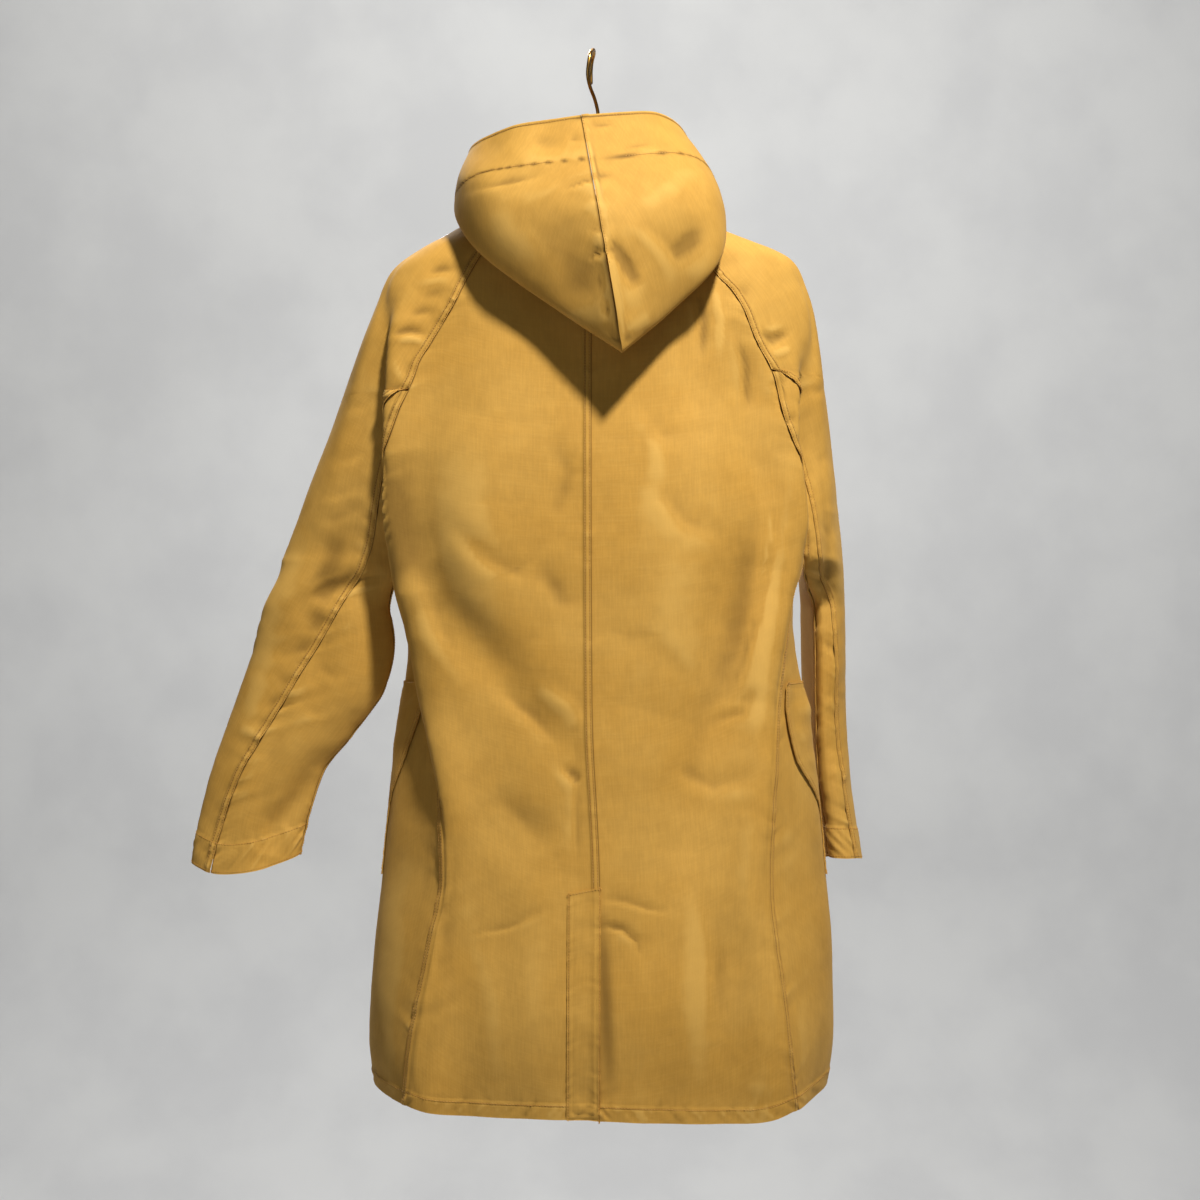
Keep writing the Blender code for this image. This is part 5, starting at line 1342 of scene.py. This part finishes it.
def edgeColumns(wide, gap=2.6):
    # Shares of the way across a patch: close by both edges and even between.
    middle = np.linspace(patchEdge[-1], wide - patchEdge[-1], max(int((wide - 2 * patchEdge[-1]) / gap), 2))
    return np.concatenate([patchEdge, middle[1:-1], wide - patchEdge[::-1]]) / wide


def resampled(rowOf, rows, starts, ends, columns, lift):
    # A patch's grid between two distances along each row of a panel, or of two panels side by side.
    points, faces = [], []
    for i, row in enumerate(rows):
        cells, outs, length = rowOf(row)
        places = starts[i] + (ends[i] - starts[i]) * columns
        points.append(np.stack([np.interp(places, length, cells[:, k]) for k in range(3)], axis=-1))
        faces.append(np.stack([np.interp(places, length, outs[:, k]) for k in range(3)], axis=-1))
    points, faces = np.array(points), unit(np.array(faces))
    return points + faces * lift, faces


def rowsBetween(high, low):
    return [i for i, z in enumerate(bodyHeights) if low <= z <= high]


def patchSheet(points, faces, seed, puff):
    # A patch with its stitched edges, its unevenness, how far it stands off in its middle, and painted shade
    # in its stitch groove.
    sheet = Sheet(points, faces)
    side = np.minimum(sheet.first, sheet.last)
    away = np.minimum(side, np.minimum(sheet.bottom, sheet.down))
    stitch = patchLook["stitchFromEdge"]
    groove = -0.4 * (bell(away, stitch, 0.8) + np.exp(-((away - stitch - patchLook["rowsApart"]) / 0.8) ** 2))
    pucker = ripple(sheet.down + 0.4 * side, seed, (9.0, 13.0, 19.0)) * np.exp(-side / 10)
    soft = 0.7 * crumple(points, 34, seed + 1) + 0.9 * crumple(points, 80, seed + 2)
    sheet.height = groove + 0.35 * pucker + (soft * 0.7 + puff) * ease(away, 3, 30)
    # Painted shade in the stitch groove.
    sheet.dark = 0.6 * bell(away, stitch, 0.75)
    sheet.moveOut()
    return sheet


def acrossBack(i):
    # A row of both back halves as one, with its lengths from the centre seam.
    one, two = sheets["back_left"], sheets["back_right"]
    return (np.concatenate([one.points[i][::-1], two.points[i][1:]]),
            np.concatenate([one.facing[i][::-1], two.facing[i][1:]]),
            np.concatenate([-one.along[i][::-1], two.along[i][1:]]))


def acrossFront(i):
    # The same for the fronts, whose rows end in the middle.
    one, two = sheets["front_left"], sheets["front_right"]
    return (np.concatenate([one.points[i], two.points[i][::-1][1:]]),
            np.concatenate([one.facing[i], two.facing[i][::-1][1:]]),
            np.concatenate([one.along[i] - one.along[i, -1], (two.along[i, -1] - two.along[i])[::-1][1:]]))


def makePocket(side):
    front = sheets["front_" + side]
    rows = rowsBetween(-689, -904)
    z = bodyHeights[rows]
    rear = pocketTable[side].read("rear", z)
    total = front.along[rows, -1]
    wide = total - rear - pocketFromCentre
    columns = edgeColumns(float(wide.mean()))
    points, faces = resampled(lambda row: (front.points[row], front.facing[row], front.along[row]), rows,
                              rear, total - pocketFromCentre, columns, patchLook["lift"])
    # the rear edge stands off by its top, where the mouth gapes
    gape = bell(columns[None] * wide[:, None], 0, patchLook["gapeReach"]) * ease(z, -850, -740)[:, None]
    points = points + faces * (patchLook["gape"] * gape)[..., None]
    return patchSheet(points, faces, puckerSeed["pocket"] + len(side), patchLook["puff"])


def makeVentStrip():
    rows = rowsBetween(-903, -1150)
    z, even = bodyHeights[rows], np.ones(len(rows))
    columns = edgeColumns(ventLeft + ventRight, gap=2.2)
    points, faces = resampled(acrossBack, rows, -ventLeft * even, ventRight * even, columns,
                              patchLook["stripLift"])
    # the top edge slants, and the free right edge stands off the skirt behind it
    points[..., 2] -= (1 - columns[None]) * patchLook["ventSlant"] * (1 - ease(-z, 903, 940))[:, None]
    free = columns[None] ** 3 * ease(-z, 915, 1000)[:, None] * patchLook["ventStandsOff"]
    return patchSheet(points + faces * free[..., None], faces, puckerSeed["vent"], 0.3)


def makePlacket():
    rows = rowsBetween(-250, -1150)
    half = placketHalf * np.ones(len(rows))
    columns = edgeColumns(2 * placketHalf)
    points, faces = resampled(acrossFront, rows, -half, half, columns, patchLook["stripLift"])
    return patchSheet(points, faces, puckerSeed["placket"], 0.2)


patchSheets = {"pocket_left": makePocket("left"), "pocket_right": makePocket("right"),
               "back_vent_strip": makeVentStrip(), "front_placket": makePlacket()}
for key, sheet in patchSheets.items():
    clothPiece(key, sheet)
print("patches made")


stitchLook = {
    "pitch": 3.1,            # mm from stitch to stitch
    "length": 2.2,
    "thickness": 0.75,
    "offAngle": 0.09,        # how far each stitch may turn from its row
}


def stitchTree():
    # Small rounded stitches along a curve, each a little off its neighbour's angle.
    off = stitchLook["offAngle"]
    tree = bpy.data.node_groups.new("stitchRow", "GeometryNodeTree")
    face = tree.interface
    face.new_socket("Geometry", in_out="INPUT", socket_type="NodeSocketGeometry")
    for label, kind in (("Pitch", "NodeSocketFloat"), ("Stitch Length", "NodeSocketFloat"),
                        ("Thickness", "NodeSocketFloat"), ("Seed", "NodeSocketInt"),
                        ("Material", "NodeSocketMaterial")):
        face.new_socket(label, in_out="INPUT", socket_type=kind)
    face.new_socket("Geometry", in_out="OUTPUT", socket_type="NodeSocketGeometry")
    given = addNode(tree, "NodeGroupInput")
    spaced = addNode(tree, "GeometryNodeResampleCurve", {"mode": "LENGTH"},
                     {"Curve": given.outputs["Geometry"], "Length": given.outputs["Pitch"]})
    bead = addNode(tree, "GeometryNodeMeshIcoSphere", None, {"Radius": 0.5, "Subdivisions": 1})
    size = addNode(tree, "ShaderNodeCombineXYZ", None, {
        "X": given.outputs["Stitch Length"], "Y": given.outputs["Thickness"],
        "Z": given.outputs["Thickness"]})
    shaped = addNode(tree, "GeometryNodeTransform", None,
                     {"Geometry": bead.outputs["Mesh"], "Scale": size.outputs["Vector"]})
    tangent = addNode(tree, "GeometryNodeInputTangent")
    jitter = addNode(tree, "FunctionNodeRandomValue", {"data_type": "FLOAT_VECTOR"},
                     {"Seed": given.outputs["Seed"], 0: (-off, -off, -off), 1: (off, off, off)})
    turned = addNode(tree, "ShaderNodeVectorMath", {"operation": "ADD"},
                     {0: tangent.outputs["Tangent"], 1: jitter.outputs[0]})
    aimed = addNode(tree, "FunctionNodeAlignRotationToVector", {"axis": "X"},
                    {"Vector": turned.outputs["Vector"]})
    placed = addNode(tree, "GeometryNodeInstanceOnPoints", None,
                     {"Points": spaced.outputs["Curve"], "Instance": shaped.outputs["Geometry"],
                      "Rotation": aimed.outputs["Rotation"]})
    real = addNode(tree, "GeometryNodeRealizeInstances", None, {"Geometry": placed.outputs["Instances"]})
    finished = addNode(tree, "GeometryNodeSetMaterial", None,
                       {"Geometry": real.outputs["Geometry"], "Material": given.outputs["Material"]})
    addNode(tree, "NodeGroupOutput", None, {"Geometry": finished.outputs["Geometry"]})
    return tree


stitchNodes = stitchTree()


def stitchRows(name, lines, seed):
    # Stitches along each line of points, as one plain mesh.
    curve = bpy.data.curves.new(name + "Path", "CURVE")
    curve.dimensions = "3D"
    for line in lines:
        if len(line) < 3:
            continue
        spline = curve.splines.new("POLY")
        spline.points.add(len(line) - 1)
        flat = np.concatenate([line * mm, np.ones((len(line), 1))], axis=1)
        spline.points.foreach_set("co", flat.ravel().astype(np.float32))
    holder = newPiece(name + "Path", curve)
    modifier = holder.modifiers.new("rows", "NODES")
    modifier.node_group = stitchNodes
    given = {"Pitch": stitchLook["pitch"] * mm, "Stitch Length": stitchLook["length"] * mm,
             "Thickness": stitchLook["thickness"] * mm, "Seed": seed, "Material": sewingThread}
    for item in stitchNodes.interface.items_tree:
        if item.item_type == "SOCKET" and item.in_out == "INPUT" and item.name in given:
            modifier[item.identifier] = given[item.name]
    bpy.context.view_layer.update()
    evaluated = holder.evaluated_get(bpy.context.evaluated_depsgraph_get())
    mesh = bpy.data.meshes.new_from_object(evaluated)
    mesh.name = name
    bpy.data.objects.remove(holder)
    piece = newPiece(name, mesh)
    if not mesh.materials:
        mesh.materials.append(sewingThread)
    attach(piece, "root")
    print(name, len(mesh.polygons), "faces")


near, far = seamLook["stitchNear"], seamLook["stitchFar"]
hemStitch, cuffStitch = (hemLook[key] - hemLook["grooveBelow"] for key in ("hemStitch", "cuffStitch"))
cuffEdgeStitch = 2.4        # the row by the cuff's edge
seamLines = [sheets["back_left"].overRows(d, "first", -900, -200) for d in (near, far)]
edgeLines, hoodLines, patchLines = [], [], []
for side in ("left", "right"):
    upper, under = sheets["sleeve_%s_upper" % side], sheets["sleeve_%s_under" % side]
    back, front, hood = sheets["back_" + side], sheets["front_" + side], sheets["hood_" + side]
    for d in (near, far):
        seamLines += [upper.overRows(d, "first", -890, -186), upper.overRows(d, "last", -890, -180),
                      under.overRows(d, "first", underarmZ, -390),
                      back.overRows(d, "last", -1136, underarmZ - 4)]
    edgeLines += [panel.overColumns(hemStitch) for panel in (back, front)]
    edgeLines += [sleeve.overColumns(d) for sleeve in (upper, under) for d in (cuffStitch, cuffEdgeStitch)]
    hoodLines += [hood.overColumns(hoodLook["facing"] - 0.4, trim=14),
                  hood.overColumns(hoodLook["edgeStitch"], trim=8)]
ribs = len(hood.points)
hoodLines.append(hood.overRows(near, "last", rows=range(int(ribs * 0.5), ribs - 1)))

inner = patchLook["stitchFromEdge"]
for key, sheet in patchSheets.items():
    pocket = key.startswith("pocket")
    for d in (inner, inner + patchLook["rowsApart"]) if pocket else (inner,):
        patchLines += [sheet.overRows(d, "first"), sheet.overRows(d, "last")]
        if pocket:
            patchLines.append(sheet.overColumns(d))
    patchLines.append(sheet.overColumns(inner, "top"))

for seed, name, stitched in ((3, "seamStitches", seamLines), (4, "edgeStitches", edgeLines),
                             (5, "hoodStitches", hoodLines), (6, "patchStitches", patchLines)):
    stitchRows(name, stitched, seed)
print("stitches made")


tubeEnds = ((0.9, 0.35), (0.55, 0.8))       # a rounded end's rings: how far past the line, and their radius


def tube(name, line, radius, sides, finish):
    # A round tube along a line of points in mm, with rounded ends.
    line = np.array(line, float)
    tangents = unit(np.gradient(line, axis=0))
    up = np.array([0.0, 1.0, 0.0])
    turns = np.linspace(0, 2 * math.pi, sides, endpoint=False)
    rings = []
    for heading in tangents:
        across = unit(np.cross(up, heading))
        rings.append(np.outer(np.cos(turns), across) + np.outer(np.sin(turns), np.cross(heading, across)))
    start = [line[0] - tangents[0] * radius * s + rings[0] * radius * c for s, c in tubeEnds]
    end = [line[-1] + tangents[-1] * radius * s + rings[-1] * radius * c for s, c in tubeEnds[::-1]]
    points = np.array(start + [at + ring * radius for at, ring in zip(line, rings)] + end)
    count = len(points)
    faces = ringFaces(count, sides)
    faces += [tuple(range(sides))[::-1], tuple(range((count - 1) * sides, count * sides))]
    return newPiece(name, solidMesh(name, points, faces, finish))


hookLook = {"wire": 3.9, "sides": 16, "steps": 160}
path = [np.array(point, float)[:, None] for point in hookPath]
fine = np.linspace(0, len(path) - 1, hookLook["steps"])
hookLine = thread(path, path[1] - path[0], path[-1] - path[-2], fine).T
hook = tube("wireHook", hookLine, hookLook["wire"] / 2, hookLook["sides"], brass)
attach(hook, "root")
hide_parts("hanger_hook")

barLook = {
    "outline": ((0, 0), (3, -0.6), (5.4, -3), (7, -7.5), (7.2, -12.5), (7, -17), (5.2, -21), (2.8, -23.4),
                (0, -24)),
    "middle": ((-62, 5, -163), (-30, 5, -153), (8, 5, -150), (46, 5, -153), (72, 5, -163)),
    "rows": 90,
    "underCrest": 2.2,       # how far inside the sleeve's outer face the spine runs
    "endsAbove": -242,       # the bar ends at this height
    "tip": 0.55,             # the ends' share of the full section
    "tipRows": 7,
}


def makeBar():
    # The bar's spine runs just inside the sleeves' crest, a step under the shoulders.
    look = barLook
    crests = {}
    for side in ("left", "right"):
        upper = sheets["sleeve_%s_upper" % side]
        crest = int(np.argmin(np.abs(upper.base[0, :, 1] - 5)))
        rows = [i for i, z in enumerate(sleeveHeights) if z >= look["endsAbove"]]
        crests[side] = [upper.base[i, crest] - upper.facing[i, crest] * look["underCrest"] for i in rows][::4]
    spine = np.array(crests["left"][::-1] + [np.array(p, float) for p in look["middle"]] + crests["right"])
    length = np.concatenate([[0], np.cumsum(np.linalg.norm(np.diff(spine, axis=0), axis=1))])
    even = np.linspace(0, length[-1], look["rows"])
    spine = np.stack([smooth(length, spine[:, k], even) for k in range(3)], axis=-1)
    outline = list(look["outline"])
    outline += [(-y, z) for y, z in outline[-2:0:-1]]
    points = []
    for i, top in enumerate(spine):
        fromEnd = min(1.0, min(i, look["rows"] - 1 - i) / look["tipRows"])
        slim = look["tip"] + (1 - look["tip"]) * math.sin(math.pi / 2 * fromEnd)
        points.append([(top[0], top[1] + y * slim, top[2] + z * slim) for y, z in outline])
    points, count = np.array(points), len(outline)
    faces = ringFaces(len(points), count)
    faces += [tuple(range(count)), tuple(range(len(points) * count - 1, (len(points) - 1) * count - 1, -1))]
    piece = newPiece("hangerBar", solidMesh("hangerBar", points, faces, wood, sharpFrom=60))
    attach(piece, "root")
    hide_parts("hanger_bar")


makeBar()
print("hanger made")

buttonLook = {
    # the half section: distance from the button's axis and height, round the outside
    "profile": ((0, 1.0), (4.6, 1.0), (5.6, 1.15), (6.4, 1.75), (7.6, 1.8), (8.8, 1.45), (9.4, 0.6),
                (9.5, -0.3), (9.0, -1.3), (7.6, -1.75), (0, -1.8)),
    "segments": 40,
    "holes": 4,
    "holeRadius": 0.9,
    "holeFrom": 2.2,         # from the button's middle to a hole's
    "thread": 0.55,
    "threadPath": ((-1, -1.5), (-1, 0.9), (-0.5, 1.5), (0, 1.6), (0.5, 1.5), (1, 0.9), (1, -1.5)),
    "sharpFrom": 35,
}


def spun(profile, segments):
    # A closed shape turned about Z from its half section.
    work = bmesh.new()
    rings = []
    for radius, height in profile:
        turns = [2 * math.pi * i / segments for i in range(segments)] if radius else [0]
        rings.append([work.verts.new((radius * math.cos(t), radius * math.sin(t), height)) for t in turns])
    for one, two in zip(rings, rings[1:]):
        for i in range(segments):
            j = (i + 1) % segments
            if len(one) == 1:
                work.faces.new((one[0], two[i], two[j]))
            elif len(two) == 1:
                work.faces.new((one[i], two[0], one[j]))
            else:
                work.faces.new((one[i], two[i], two[j], one[j]))
    bmesh.ops.recalc_face_normals(work, faces=work.faces)
    return work


def asPiece(work, name):
    mesh = bpy.data.meshes.new(name)
    work.to_mesh(mesh)
    work.free()
    return newPiece(name, mesh)


def drilledButton():
    # The button's mesh with its holes, lying flat at the origin, in mm.
    look = buttonLook
    whole = asPiece(spun(look["profile"], look["segments"]), "buttonBody")
    drills = bmesh.new()
    for i in range(look["holes"]):
        turn = math.pi / 4 + i * math.pi / 2
        made = bmesh.ops.create_cone(drills, cap_ends=True, segments=14, radius1=look["holeRadius"],
                                     radius2=look["holeRadius"], depth=8)
        bmesh.ops.translate(drills, verts=made["verts"],
                            vec=Vector((math.cos(turn), math.sin(turn), 0)) * look["holeFrom"])
    drill = asPiece(drills, "buttonDrills")
    cut = whole.modifiers.new("holes", "BOOLEAN")
    cut.operation, cut.solver, cut.object = "DIFFERENCE", "EXACT", drill
    bpy.context.view_layer.update()
    drilled = bpy.data.meshes.new_from_object(whole.evaluated_get(bpy.context.evaluated_depsgraph_get()))
    for item in (whole, drill):
        bpy.data.objects.remove(item)
    return drilled


def makeButtons():
    # The drilled button, copied to where each CAD button sits on the placket.
    drilled = drilledButton()
    placket = patchSheets["front_placket"]
    middle = placket.points.shape[1] // 2
    nodes = ["button_%d" % (i + 1) for i in range(buttonCount)]
    work = bmesh.new()
    threads = []
    for node in nodes:
        low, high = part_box(node)
        centre = (Vector(low) + Vector(high)) / 2
        row = int(np.argmin(np.abs(placket.points[:, middle, 2] * mm - centre.z)))
        turn = Vector(placket.facing[row, middle]).to_track_quat("Z", "X").to_matrix()
        copy = drilled.copy()
        for vertex in copy.vertices:
            vertex.co = centre + turn @ (vertex.co * mm)
        work.from_mesh(copy)
        reach = buttonLook["holeFrom"] * math.sqrt(0.5)
        for sign in (-1, 1):
            threads.append([np.array(centre + turn @ (Vector((x * reach, sign * reach, z)) * mm)) / mm
                            for x, z in buttonLook["threadPath"]])
    piece = asPiece(work, "placketButtons")
    piece.data.materials.clear()
    piece.data.materials.append(horn)
    piece.data.shade_smooth()
    piece.data.set_sharp_from_angle(angle=math.radians(buttonLook["sharpFrom"]))
    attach(piece, "root")
    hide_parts(*nodes)
    for i, line in enumerate(threads):
        bar = tube("buttonThread%d" % (i + 1), line, buttonLook["thread"], 8, sewingThread)
        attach(bar, "root")


makeButtons()
print("buttons made")


stageLook = {
    "floorZ": -2.6,
    "backY": 4.6,            # far enough back for a camera in front of the coat
    "half": 8.0,
    "bend": 1.2,
    "bendSteps": 16,
    "top": 5.0,
}


def makeStage():
    # A pale studio paper sweep: floor, a wide bend, and an upright part well behind the coat.
    made, tree, place = newTree("paleStudioPaper")
    grain = addNode(tree, "ShaderNodeTexNoise", None, {"Vector": place, "Scale": 3.0, "Detail": 6.0})
    colour = layer(tree, "#C9CACB", "#D2D3D3", grain.outputs["Fac"], 0.3, 0.7)
    shaded(made, {"Base Color": colour, "Roughness": 0.9})
    low, back, half, bend = (stageLook[key] for key in ("floorZ", "backY", "half", "bend"))
    steps = stageLook["bendSteps"]
    profile = [(-half, low), (back - bend, low)]
    for i in range(1, steps + 1):
        turn = math.pi / 2 * i / steps
        profile.append((back - bend + bend * math.sin(turn), low + bend - bend * math.cos(turn)))
    profile.append((back, stageLook["top"]))
    vertices = [(x, y, z) for y, z in profile for x in (-half, half)]
    faces = [(2 * i, 2 * i + 1, 2 * i + 3, 2 * i + 2) for i in range(len(profile) - 1)]
    mesh = bpy.data.meshes.new("studioSweep")
    mesh.from_pydata(vertices, [], faces)
    mesh.materials.append(made)
    mesh.shade_smooth()
    newPiece("studioSweep", mesh)


# Each light: place, what it aims at, size across in metres, watts and colour.
lights = {
    "keyLight": ((0.75, -1.6, 2.15), (0, 0, -0.6), 0.36, 195, (1.0, 0.975, 0.94)),
    "fillLight": ((-1.4, -3.6, -0.6), (0, 0, -0.75), 2.4, 9, (0.95, 0.97, 1.0)),
    "sweepLight": ((0.0, 1.6, 2.4), (0, 4.6, -0.8), 2.4, 90, (1.0, 0.99, 0.97)),
    "frontLight": ((-1.4, 2.9, 2.0), (0, 0, -0.6), 1.2, 70, (0.98, 0.98, 1.0)),
}
airLook = {"colour": "#E6E8EA", "strength": 0.08}

makeStage()
for name, (place, target, size, power, colour) in lights.items():
    light = bpy.data.lights.new(name, "AREA")
    light.shape, light.size, light.energy, light.color = "DISK", size, power, colour
    holder = newPiece(name, light)
    holder.location = place
    holder.rotation_euler = (Vector(target) - Vector(place)).to_track_quat("-Z", "Y").to_euler()
    holder.visible_camera = False
air = bpy.data.worlds.new("studioAir")
air.use_nodes = True
air.node_tree.nodes["Background"].inputs["Color"].default_value = linear(airLook["colour"])
air.node_tree.nodes["Background"].inputs["Strength"].default_value = airLook["strength"]
bpy.context.scene.world = air
bpy.context.scene.view_settings.view_transform = "Standard"

cameraLook = {
    "place": (0.0099, -2.4, -0.6028),
    "wideView": 1.32,        # metres across at the coat's middle plane
}
view = bpy.data.cameras.new("photoCamera")
view.sensor_fit = "HORIZONTAL"
view.angle = 2 * math.atan(cameraLook["wideView"] / 2 / -cameraLook["place"][1])
camera = newPiece("photoCamera", view)
camera.location = cameraLook["place"]
camera.rotation_euler = (math.pi / 2, 0, 0)
bpy.context.scene.camera = camera
print("stage, lights and camera ready")
